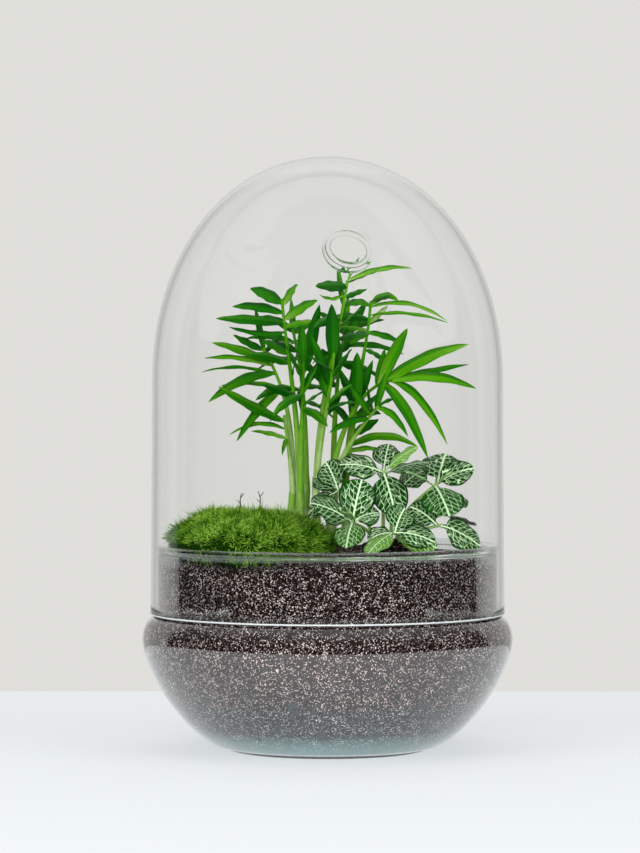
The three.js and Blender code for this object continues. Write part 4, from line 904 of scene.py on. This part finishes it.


# A plant has its foot on the root ball, and fronds: the stalk's tip, the angle at which it rises there, and
# its leaflets. A leaflet has its place as a share of the stalk, its tip, its width, its arch, and its tone
# from dark to pale: partly its age, and partly painted light, pale for leaflets that catch the light and dark
# for those in shade.
PALMS = {
    "palm_front_left": ((-0.014, 0.006), [
        ((-0.023, -0.006, 0.228), 82, [
            (0.98, (-0.039, -0.01, 0.233), 0.0066, 0.0015, 0.15),
            (0.97, (-0.015, -0.015, 0.235), 0.0046, 0.0015, 0.6),
            (0.93, (-0.048, -0.008, 0.224), 0.0051, 0.002, 0.15),
            (0.88, (-0.056, -0.014, 0.218), 0.0056, 0.001, 0.2),
            (0.83, (-0.05, 0.0, 0.214), 0.003, -0.0015, 0.1),
            (0.9, (-0.005, -0.016, 0.227), 0.0061, 0.0015, 0.75),
            (0.86, (-0.007, -0.006, 0.217), 0.0035, 0.0005, 0.85),
            (0.75, (-0.014, -0.014, 0.207), 0.0025, 0.001, 0.2),
            (0.71, (-0.033, -0.012, 0.207), 0.0051, 0.001, 0.15),
            (0.66, (-0.04, -0.016, 0.2), 0.0056, 0.0015, 0.3),
            (0.59, (-0.015, -0.02, 0.203), 0.0046, 0.0005, 0.3),
            (0.53, (-0.036, -0.018, 0.177), 0.0046, 0.0025, 0.2),
        ]),
        ((-0.012, -0.018, 0.196), 84, [
            (0.98, (-0.013, -0.022, 0.215), 0.0046, 0.0, 0.15),
            (0.93, (-0.004, -0.014, 0.225), 0.0056, 0.0005, 0.1),
            (0.72, (-0.033, -0.026, 0.185), 0.0046, 0.001, 0.15),
            (0.83, (0.001, -0.02, 0.2), 0.0041, 0.001, 0.2),
            (0.78, (-0.005, -0.028, 0.195), 0.0035, 0.0005, 0.3),
            (0.89, (-0.022, -0.026, 0.207), 0.0046, 0.001, 0.2),
            (0.77, (-0.027, -0.024, 0.17), 0.0046, 0.002, 0.35),
            (0.66, (0.0, -0.026, 0.164), 0.0046, 0.002, 0.3),
            (0.69, (-0.001, -0.034, 0.182), 0.0046, 0.001, 0.15),
        ]),
    ]),
    "palm_middle": ((-0.006, 0.002), [
        ((0.01, -0.014, 0.237), 78, [
            (1, (0.016, -0.014, 0.249), 0.0015, 0.0005, 0.5),
            (1, (0.042, -0.022, 0.243), 0.003, 0.003, 0.8),
            (0.99, (0.026, -0.006, 0.242), 0.002, 0.001, 0.5),
            (0.98, (-0.006, -0.024, 0.234), 0.0066, 0.0005, 0.1),
            (0.94, (-0.004, -0.01, 0.23), 0.002, -0.002, 0.6),
            (0.88, (0.005, -0.022, 0.246), 0.0025, 0.0, 0.45),
            (0.92, (0.02, -0.004, 0.233), 0.003, 0.0005, 0.15),
            (0.82, (-0.007, -0.032, 0.213), 0.0046, 0.0025, 0.15),
            (0.78, (0.017, -0.026, 0.223), 0.003, 0.0005, 0.4),
            (0.72, (0.021, -0.034, 0.21), 0.0051, 0.001, 0.15),
        ]),
        ((0.003, -0.024, 0.201), 84, [
            (0.96, (0.002, -0.026, 0.225), 0.0061, 0.0, 0.1),
            (0.84, (0.012, -0.032, 0.203), 0.0046, 0.001, 0.3),
            (0.77, (-0.008, -0.03, 0.206), 0.0046, 0.0005, 0.15),
            (0.64, (0.012, -0.034, 0.185), 0.0041, 0.0015, 0.45),
            (0.68, (-0.005, -0.02, 0.193), 0.0035, 0.0005, 0.2),
            (0.56, (0.008, -0.024, 0.183), 0.0041, 0.0005, 0.15),
            (0.88, (-0.011, -0.038, 0.2), 0.0051, 0.001, 0.2),
            (0.6, (0.014, -0.042, 0.176), 0.0046, 0.002, 0.2),
        ]),
    ]),
    "palm_front_right": ((0.001, 0.006), [
        ((0.032, -0.014, 0.187), 8, [
            (0.88, (0.04, -0.018, 0.213), 0.0061, 0.0015, 0.7),
            (0.91, (0.07, -0.024, 0.205), 0.0066, 0.0035, 0.75),
            (0.95, (0.071, -0.008, 0.195), 0.0035, 0.001, 0.2),
            (0.98, (0.074, -0.016, 0.183), 0.0056, 0.0046, 0.4),
            (0.92, (0.05, -0.028, 0.148), 0.0051, 0.0061, 0.45),
            (0.99, (0.06, -0.016, 0.155), 0.0041, 0.0076, 0.5),
            (0.86, (0.029, -0.004, 0.203), 0.0035, 0.0005, 0.3),
        ]),
        ((0.025, -0.022, 0.174), 42, [
            (0.98, (0.04, -0.028, 0.159), 0.0035, 0.0041, 0.4),
            (0.85, (0.001, -0.03, 0.161), 0.0041, 0.002, 0.2),
            (0.96, (0.029, -0.03, 0.191), 0.0035, 0.0005, 0.3),
            (0.89, (0.01, -0.032, 0.186), 0.0035, 0.0005, 0.3),
            (0.93, (0.018, -0.038, 0.191), 0.0046, 0.0005, 0.2),
            (0.99, (0.037, -0.014, 0.178), 0.002, 0.0015, 0.5),
        ]),
    ]),
    "palm_right": ((0.009, 0.012), [
        ((0.022, 0.006, 0.227), 86, [
            (0.98, (0.036, 0.002, 0.227), 0.0041, 0.0041, 0.6),
            (0.97, (0.061, 0.012, 0.217), 0.0025, 0.0056, 0.6),
            (0.93, (0.061, 0.0, 0.216), 0.002, 0.003, 0.5),
            (0.84, (0.039, 0.008, 0.205), 0.0035, 0.0015, 0.3),
            (1, (0.033, -0.008, 0.23), 0.0025, 0.001, 0.5),
            (0.91, (-0.007, -0.008, 0.213), 0.0051, 0.0035, 0.15),
            (0.98, (0.009, -0.006, 0.224), 0.0046, 0.0025, 0.3),
            (0.85, (0.006, 0.014, 0.214), 0.0025, 0.0005, 0.7),
            (0.84, (0.011, -0.002, 0.205), 0.0046, 0.0015, 0.35),
            (0.89, (0.031, 0.018, 0.225), 0.003, 0.0, 0.85),
            (0.74, (0.03, 0.016, 0.195), 0.003, 0.002, 0.3),
        ]),
        ((0.015, 0.0, 0.18), 84, [
            (0.93, (0.015, -0.004, 0.201), 0.0061, 0.0, 0.35),
            (0.89, (0.023, 0.006, 0.197), 0.0041, 0.0005, 0.2),
            (0.8, (0.027, -0.006, 0.17), 0.0041, 0.0015, 0.3),
            (0.62, (0.026, 0.002, 0.167), 0.0051, 0.0005, 0.3),
            (0.87, (0.006, 0.006, 0.193), 0.0041, 0.0005, 0.15),
        ]),
    ]),
    "palm_left": ((-0.0175, 0.015), [
        ((-0.033, 0.012, 0.203), 58, [
            (0.99, (-0.048, 0.008, 0.21), 0.0041, 0.0, 0.2),
            (0.9, (-0.059, 0.002, 0.206), 0.0046, 0.0015, 0.6),
            (0.87, (-0.063, 0.014, 0.198), 0.003, 0.0025, 0.65),
            (0.8, (-0.064, 0.006, 0.191), 0.002, 0.0035, 0.5),
            (0.82, (-0.06, -0.004, 0.176), 0.0056, 0.0041, 0.35),
            (0.71, (-0.055, 0.02, 0.184), 0.0025, 0.002, 0.4),
            (0.7, (-0.046, 0.0, 0.156), 0.0046, 0.0035, 0.4),
            (0.98, (-0.037, 0.018, 0.224), 0.003, 0.0, 0.35),
            (0.97, (-0.023, 0.02, 0.211), 0.003, 0.0005, 0.2),
        ]),
        ((-0.022, 0.004, 0.169), 74, [
            (0.94, (-0.055, -0.006, 0.184), 0.0056, -0.0005, 0.55),
            (0.84, (-0.05, 0.004, 0.159), 0.0025, 0.0046, 0.4),
            (0.73, (-0.039, 0.012, 0.161), 0.0025, 0.001, 0.6),
            (0.74, (-0.023, -0.004, 0.149), 0.002, 0.0015, 0.6),
        ]),
    ]),
    "palm_back_left": ((-0.011, 0.026), [
        ((-0.018, 0.04, 0.213), 62, [
            (0.98, (-0.034, 0.05, 0.22), 0.0041, 0.002, 0.2),
            (0.97, (-0.003, 0.052, 0.217), 0.0041, 0.002, 0.2),
            (0.91, (-0.043, 0.046, 0.208), 0.0035, 0.0025, 0.25),
            (0.87, (-0.006, 0.058, 0.201), 0.0035, 0.0025, 0.2),
            (0.98, (-0.019, 0.056, 0.229), 0.003, 0.0, 0.35),
            (0.8, (-0.037, 0.058, 0.192), 0.0035, 0.003, 0.2),
            (0.85, (-0.032, 0.044, 0.205), 0.0046, 0.002, 0.15),
            (0.76, (-0.004, 0.04, 0.189), 0.0046, 0.002, 0.15),
        ]),
        ((-0.014, 0.046, 0.183), 38, [
            (0.96, (-0.034, 0.058, 0.176), 0.0035, 0.003, 0.2),
            (0.96, (0.001, 0.06, 0.18), 0.0035, 0.003, 0.2),
            (0.89, (-0.03, 0.05, 0.165), 0.0035, 0.0041, 0.2),
            (0.96, (-0.014, 0.068, 0.17), 0.0035, 0.0041, 0.2),
            (0.82, (0.005, 0.056, 0.165), 0.003, 0.003, 0.3),
        ]),
    ]),
    "palm_back_right": ((0.003, 0.027), [
        ((0.013, 0.018, 0.166), 84, [
            (0.68, (0.046, 0.004, 0.153), 0.0046, 0.0061, 0.45),
            (0.6, (0.028, 0.016, 0.151), 0.003, 0.002, 0.6),
            (0.93, (0.001, 0.028, 0.176), 0.0035, 0.0015, 0.2),
            (0.96, (0.027, 0.034, 0.18), 0.0035, 0.0015, 0.25),
            (0.98, (0.012, 0.026, 0.19), 0.0035, 0.0005, 0.2),
        ]),
        ((0.009, 0.044, 0.212), 62, [
            (0.98, (-0.005, 0.054, 0.222), 0.0041, 0.002, 0.2),
            (0.98, (0.03, 0.058, 0.218), 0.0041, 0.0025, 0.25),
            (0.9, (0.04, 0.05, 0.2), 0.0035, 0.003, 0.3),
            (0.86, (-0.008, 0.06, 0.195), 0.0035, 0.003, 0.2),
            (0.98, (0.011, 0.052, 0.231), 0.003, 0.0, 0.35),
            (0.79, (0.034, 0.062, 0.183), 0.0035, 0.0035, 0.2),
            (0.75, (0.001, 0.066, 0.179), 0.0035, 0.003, 0.2),
            (0.71, (-0.003, 0.034, 0.203), 0.0046, 0.0005, 0.1),
            (0.75, (0.005, 0.03, 0.209), 0.0046, 0.0, 0.1),
            (0.86, (0.016, 0.036, 0.212), 0.0041, 0.0005, 0.15),
            (0.63, (-0.008, 0.032, 0.189), 0.0046, 0.001, 0.12),
            (0.58, (0.018, 0.028, 0.182), 0.0041, 0.001, 0.15),
            (0.93, (0.02, 0.04, 0.224), 0.0051, 0.0005, 0.12),
            (0.79, (0.021, 0.036, 0.19), 0.0051, 0.0015, 0.15),
            (0.5, (-0.005, 0.028, 0.173), 0.0041, 0.001, 0.15),
        ]),
    ]),
}


def frond_curve(foot, tip, rise):
    """The Bezier curve of a frond's stalk, upright at its foot and bent over towards its tip."""
    base = np.array([*foot, PALM_ROOT_TOP_Z + 0.010])
    end = np.array(tip)
    outward = unit((end - base) * (1, 1, 0))
    height = end[2] - base[2]
    rise = math.radians(rise)
    bend = end - (outward * math.cos(rise) + UP * math.sin(rise)) * height * 0.32
    return base, base + UP * height * 0.5, bend, end


def blade(line, width, shape, thick, fold, ripple, seed):
    """
    A thin blade about its middle line. fold is how far its edges drop from its rib as a share of its half
    width, and ripple is how far they wave. Each row runs over the top from edge to edge and back below.
    """
    points, across, normal, s = line
    top = np.linspace(-1, 1, 9)
    place = np.concatenate([top, top[-2:0:-1]])
    below = np.concatenate([np.zeros(9), np.ones(7)])
    half = np.maximum(width / 2 * shape(s), thick * 0.3)[:, None]
    edge = np.abs(place)[None, :]
    wave = ripple * edge**2 * np.sin(s[:, None] * 17 + seed * 2.4 + np.where(place > 0, 1.7, 0)[None, :])
    drop = fold * half * edge + wave * smooth(s * 4)[:, None] * smooth((1 - s) * 4)[:, None]
    depth = thick * (1.15 - edge**2) * below * np.minimum(1, half / thick)
    drop = (drop + depth)[..., None]
    grid = points[:, None] + across[:, None] * (half * place)[..., None] - normal[:, None] * drop
    lie = np.stack(np.broadcast_arrays(half * place / (width / 2), s[:, None]), -1)
    return grid, lie, np.broadcast_to(edge, grid.shape[:2])


def rod(path, girth, sides, tone):
    """A stalk's sheet, with its tone along it, and a pattern that runs down it."""
    grid = tube(path, girth, sides)
    return {"grid": grid, "uv": np.stack(np.indices(grid.shape[:2]), -1) * (0.02, 0.5), "tone": tone[:, None]}


def waxy(name, colour, gleam, glow, depth):
    """A leaf's finish, satin over flesh that lets a little light through, and its map across and along."""
    look = {"Specular IOR Level": gleam, "Subsurface Weight": 0.08, "Subsurface Radius": glow}
    material, nodes, shader = finish(name, colour, 0.42, {**look, "Subsurface Scale": depth})
    return material, nodes, shader, add(nodes, "UVMap", uv_map="lie").outputs[0]


palm_leaf, nodes, shader, lie = waxy("palm_leaf", (0.05, 0.2, 0.02), 0.1, (0.5, 1.0, 0.15), 0.0012)
stretch = add(nodes, "Mapping", {"Vector": lie, "Scale": (9, 0.35, 1)}).outputs[0]
veins = add(nodes, "TexNoise", {"Vector": stretch, "Scale": 1.6, "Detail": 2}).outputs["Fac"]
tone = worked(nodes, "MULTIPLY_ADD", veins, 0.36, attribute(nodes, "tone"))
green = shaded(nodes, worked(nodes, "SUBTRACT", tone, 0.18), PALM_SHADES)
bump = add(nodes, "Bump", {"Height": veins, "Strength": 0.35, "Distance": 0.0004})
feed(shader, {"Base Color": green, "Normal": bump.outputs[0]})

# Every stalk's place is taken before the first leaflet is laid.
for name, (foot, fronds) in PALMS.items():
    taken.append((name, np.array([[*foot, PALM_ROOT_TOP_Z + rise] for rise in (0, 0.003, 0.006)])))
    for tip, rise, _ in fronds:
        curve = frond_curve(foot, tip, rise)
        taken.append((name, on_curve(curve, np.arange(41) / 41)))

for number, (name, (foot, fronds)) in enumerate(PALMS.items()):
    base = np.array([*foot, 0])
    z = np.linspace(PALM_ROOT_TOP_Z - 0.012, PALM_ROOT_TOP_Z + 0.030, 16)
    sheath = base + UP * z[:, None] + np.array([0.0005, 0.0004, 0]) * np.sin(z * 160 + number)[:, None]
    girth = np.interp(z, [0.096, 0.108, 0.130, 0.138], [0.0021, 0.0024, 0.0020, 0.0012])
    pale = np.interp(z, [0.108, 0.125, 0.138], [0.92, 0.80, 0.66])
    sheets = [rod(sheath, girth, 14, pale)]
    for i, (tip, rise, leaflets) in enumerate(fronds):
        curve = frond_curve(foot, tip, rise)
        t = np.linspace(0, 1, 40)
        stalk = on_curve(curve, t)
        girth = 0.0020 - 0.0012 * np.minimum(1, 1.25 * t)
        pale = np.interp(stalk[:, 2], [0.115, 0.135, 0.160, 0.185], [0.95, 0.86, 0.76, 0.55])
        pale += 0.09 * math.sin(5 * i + 2 * number)
        sheets.append(rod(stalk, girth, 10, pale))
        for j, (share, leaf_tip, width, arch, paleness) in enumerate(leaflets):
            root = on_curve(curve, share)
            line = settled(
                name, root, np.array(leaf_tip), arch, PALM_FACING, width, lance_shape, PALM_GAP, 26
            )
            if line is None:
                continue
            look = {"thick": 0.00035, "fold": 0.3, "ripple": 0.0003, "seed": 40 * number + 20 * i + j}
            grid, lie, edge = blade(line, PALM_WIDER * width, lance_shape, **look)
            rib = 0.08 * np.exp(-((lie[..., 0] / 0.12) ** 2)) + 0.16 * np.exp(-lie[..., 1] / 0.08)
            lit_half = 0.08 * np.tanh(lie[..., 0] * 9) * (-1) ** (i + j)
            lit_end = 0.10 * np.sin(3 * lie[..., 1] + 1.7 * j + number)
            # A leaflet's tone is partly its age and partly painted light, set by how much light it catches.
            tone = 0.06 + 0.78 * paleness + 0.07 * math.sin(2.4 * (i + 3 * j + number))
            tone = tone + rib + lit_half + lit_end
            sheets.append({"grid": grid, "uv": lie, "tone": tone - 0.05 * edge})
    palm = skins(name + "_plant", sheets, [palm_leaf])
    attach(palm, "root")
    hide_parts(name)

# Nerve plant: a low creeping plant whose hairy stems carry crossed pairs of egg-shaped leaves, dark green and
# netted with white veins. It is planted at the front right, on its own root ball.
NERVE_GAP = 0.0024
NERVE_WIDER = 1.08
NERVE_ARCH = 0.0015
NERVE_ROOT_TOP_Z = ROOT_BALLS["nerve_root_ball"][3]
NERVE_SHADES = ((0, (0.0015, 0.028, 0.002)), (0.55, (0.006, 0.070, 0.002)), (1, (0.14, 0.34, 0.02)))
NERVE_VEINS = (0.67, 0.87, 0.54, 1)
# A stem has its foot, its top and its leaves. A leaf has its place as a share of the stem, its tip, its
# width, the way that its upper side turns, and its tone from old and dark to young and pale.
NERVES = {
    "nerve_stem_low_left": ((0.022, -0.02), (0.012, -0.038, 0.117), [
        (0.97, (0.017, -0.038, 0.138), 0.0175, (0.1, -0.97, 0.22), 0.3),
        (1, (-0.008, -0.044, 0.127), 0.015, (-0.2, -0.85, 0.5), 0.3),
        (0.96, (0.009, -0.053, 0.105), 0.015, (-0.1, -0.65, 0.75), 0.6),
        (0.97, (0.026, -0.036, 0.121), 0.012, (0.3, -0.75, 0.6), 0.5),
        (0.97, (0.008, -0.049, 0.123), 0.006, (0, -0.7, 0.7), 0.95),
    ]),
    "nerve_stem_top": ((0.028, -0.012), (0.028, -0.022, 0.142), [
        (0.96, (0.006, -0.027, 0.145), 0.014, (-0.1, -0.8, 0.6), 0.15),
        (0.96, (0.034, -0.033, 0.119), 0.017, (0.1, -0.93, 0.35), 0.25),
        (0.96, (0.045, -0.031, 0.154), 0.008, (-0.3, -0.6, 0.7), 0.95),
        (1, (0.031, -0.008, 0.155), 0.013, (0, -0.75, 0.65), 0.1),
        (0.91, (0.051, -0.018, 0.146), 0.014, (0.1, -0.25, 0.97), 0.2),
    ]),
    "nerve_stem_right": ((0.035, -0.012), (0.055, -0.023, 0.136), [
        (1, (0.06, -0.009, 0.15), 0.02, (0, -0.65, 0.75), 0.2),
        (0.9, (0.039, -0.035, 0.142), 0.01, (-0.2, -0.65, 0.7), 0.85),
        (1, (0.065, -0.036, 0.142), 0.008, (0.3, -0.65, 0.7), 0.9),
        (0.95, (0.073, -0.013, 0.143), 0.012, (0.2, -0.9, 0.4), 0.15),
        (0.92, (0.06, -0.042, 0.12), 0.02, (0, -0.6, 0.8), 0.5),
    ]),
    "nerve_stem_left": ((0.022, -0.012), (0.005, -0.017, 0.132), [
        (0.97, (-0.001, -0.018, 0.146), 0.014, (-0.2, -0.8, 0.5), 0.25),
        (0.97, (-0.01, 0.002, 0.119), 0.011, (-0.2, -0.8, 0.5), 0.2),
        (0.99, (-0.006, 0.0, 0.135), 0.013, (-0.2, -0.5, 0.8), 0.2),
    ]),
    "nerve_stem_front": ((0.029, -0.022), (0.033, -0.046, 0.112), [
        (1, (0.053, -0.044, 0.107), 0.012, (-0.2, -0.85, 0.5), 0.2),
        (0.84, (0.054, -0.057, 0.104), 0.014, (0.1, -0.8, 0.6), 0.75),
        (0.84, (0.02, -0.049, 0.108), 0.012, (-0.1, -0.7, 0.7), 0.3),
        (0.84, (0.019, -0.061, 0.102), 0.011, (-0.2, -0.7, 0.7), 0.8),
        (1, (0.038, -0.042, 0.124), 0.014, (0.1, -0.9, 0.4), 0.3),
    ]),
    "nerve_stem_low_right": ((0.036, -0.02), (0.056, -0.033, 0.115), [
        (1, (0.076, -0.024, 0.104), 0.016, (0.35, -0.8, 0.5), 0.3),
        (0.92, (0.041, -0.044, 0.124), 0.014, (0, -0.9, 0.4), 0.2),
    ]),
    "nerve_stem_back": ((0.032, -0.006), (0.036, 0.006, 0.131), [
        (1, (0.025, 0.004, 0.14), 0.015, (-0.2, -0.3, 0.9), 0.2),
        (1, (0.05, 0.012, 0.141), 0.016, (0.2, -0.2, 0.9), 0.2),
        (0.72, (0.027, 0.02, 0.122), 0.014, (0, 0.6, 0.7), 0.3),
    ]),
    "nerve_stem_far_back": ((0.039, -0.008), (0.058, 0.0, 0.119), [
        (1, (0.07, 0.013, 0.127), 0.014, (0.3, 0.2, 0.9), 0.2),
        (1, (0.052, 0.014, 0.126), 0.014, (-0.1, 0.4, 0.9), 0.2),
        (1, (0.076, 0.01, 0.113), 0.013, (0.5, 0.3, 0.8), 0.3),
    ]),
}


def egg_shape(s):
    """How wide a nerve plant's leaf is at a share of its length: a thin stalk, then an egg shape."""
    u = (s - 0.14) / 0.86
    egg = 2.2 * np.clip(u, 0, 1) ** 0.52 * np.clip(1 - u, 0, 1) ** 0.62
    return np.where(u <= 0, 0.13, np.maximum(0.13 * (1 - u), egg))


def nerve_curve(foot, top):
    """A nerve plant's stem, upright at its foot."""
    base = np.array([*foot, NERVE_ROOT_TOP_Z + 0.0005])
    end = np.array(top)
    rise = end[2] - base[2]
    bend = end + (base - end) * 0.25
    bend[2] = base[2] + rise * 0.8
    return base, base + UP * rise * 0.5, bend, end


def netted_leaf():
    """
    The nerve leaf's surface. Its side veins leave the rib at a slant and curve to the tip. A loose net of
    cells, one row between two side veins, gives the finer veins, which end before the green margin.
    """
    material, nodes, shader, lie = waxy("nerve_leaf", (0.02, 0.12, 0.03), 0.16, (0.5, 1.0, 0.2), 0.001)
    split = add(nodes, "SeparateXYZ", {0: lie})
    wobble = add(nodes, "TexNoise", {"Vector": lie, "Scale": 5})

    def work(operation, *values):
        return worked(nodes, operation, *values)

    def faded(value, start, end):
        return moved(nodes, value, (start, end), (1, 0), "SMOOTHSTEP")

    sway = work("MULTIPLY_ADD", wobble.outputs["Fac"], 0.5, -0.25)
    across = work("ABSOLUTE", split.outputs["X"])
    left = work("LESS_THAN", split.outputs["X"], 0.0)
    slant = work("MULTIPLY", across, work("MULTIPLY_ADD", across, 1.1, 1.5))
    rows = work("SUBTRACT", work("MULTIPLY", split.outputs["Y"], 7.2), slant)
    rows = work("ADD", work("ADD", rows, work("MULTIPLY", left, 0.5)), sway)
    column = work("MULTIPLY_ADD", across, 3.3, work("MULTIPLY", left, 20))
    layer = work("MULTIPLY", attribute(nodes, "tone"), 50)
    place = add(nodes, "CombineXYZ", {"X": rows, "Y": column, "Z": layer}).outputs[0]
    net_inputs = {"Vector": place, "Scale": 1, "Randomness": 0.62}
    cells = add(nodes, "TexVoronoi", net_inputs, feature="DISTANCE_TO_EDGE")
    fine = faded(cells.outputs["Distance"], 0.015, 0.06)
    beside = work("ABSOLUTE", work("SUBTRACT", work("FRACT", rows), 0.5))
    side = moved(nodes, beside, (work("MULTIPLY_ADD", across, 0.04, 0.43), 0.5), (0, 1), "SMOOTHSTEP")
    rib = faded(across, 0.02, 0.075)
    margin = faded(attribute(nodes, "edge"), 0.84, 0.94)
    net = work("MAXIMUM", work("MULTIPLY", fine, 0.85), side)
    net = work("MAXIMUM", work("MULTIPLY", net, margin), rib)
    green = shaded(nodes, attribute(nodes, "tone"), NERVE_SHADES)
    bump = add(nodes, "Bump", {"Height": net, "Strength": 0.5, "Distance": 0.0004}, invert=True)
    feed(shader, {"Base Color": mixed(nodes, net, green, NERVE_VEINS), "Normal": bump.outputs[0]})
    return material


nerve_green = netted_leaf()
nerve_stalk, _, _ = finish("nerve_stalk", (0.26, 0.42, 0.12), 0.6)
for name, (foot, top, _) in NERVES.items():
    taken.append((name, on_curve(nerve_curve(foot, top), np.arange(15) / 14.5)))

for number, (name, (foot, top, leaves)) in enumerate(NERVES.items()):
    curve = nerve_curve(foot, top)
    t = np.linspace(0, 1, 26)
    stem = on_curve(curve, t)
    stem = np.concatenate([[stem[0] - (0, 0, 0.009), stem[0] - (0, 0, 0.003)], stem])
    girth = np.concatenate([[0.0010, 0.0010], 0.0010 - 0.0003 * t])
    zero = np.zeros((len(stem), 1))
    sheets = [{"grid": tube(stem, girth, 12), "tone": zero + 0.5, "edge": zero, "slot": 1}]
    for i, (share, leaf_tip, width, facing, paleness) in enumerate(leaves):
        root = on_curve(curve, share)
        way = unit(np.array(facing))
        line = settled(name, root, np.array(leaf_tip), NERVE_ARCH, way, width, egg_shape, NERVE_GAP, 34)
        if line is None:
            continue
        look = {"thick": 0.0005, "fold": 0.16, "ripple": 0.0005, "seed": 10 * number + i}
        grid, lie, edge = blade(line, NERVE_WIDER * width, egg_shape, **look)
        tone = np.full(grid.shape[:2], paleness + 0.004 * (10 * number + i) % 0.03)
        sheets.append({"grid": grid, "uv": lie, "tone": tone, "edge": edge})
    nerve = skins(name + "_leafy", sheets, [nerve_green, nerve_stalk])
    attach(nerve, "root")
    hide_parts(name)
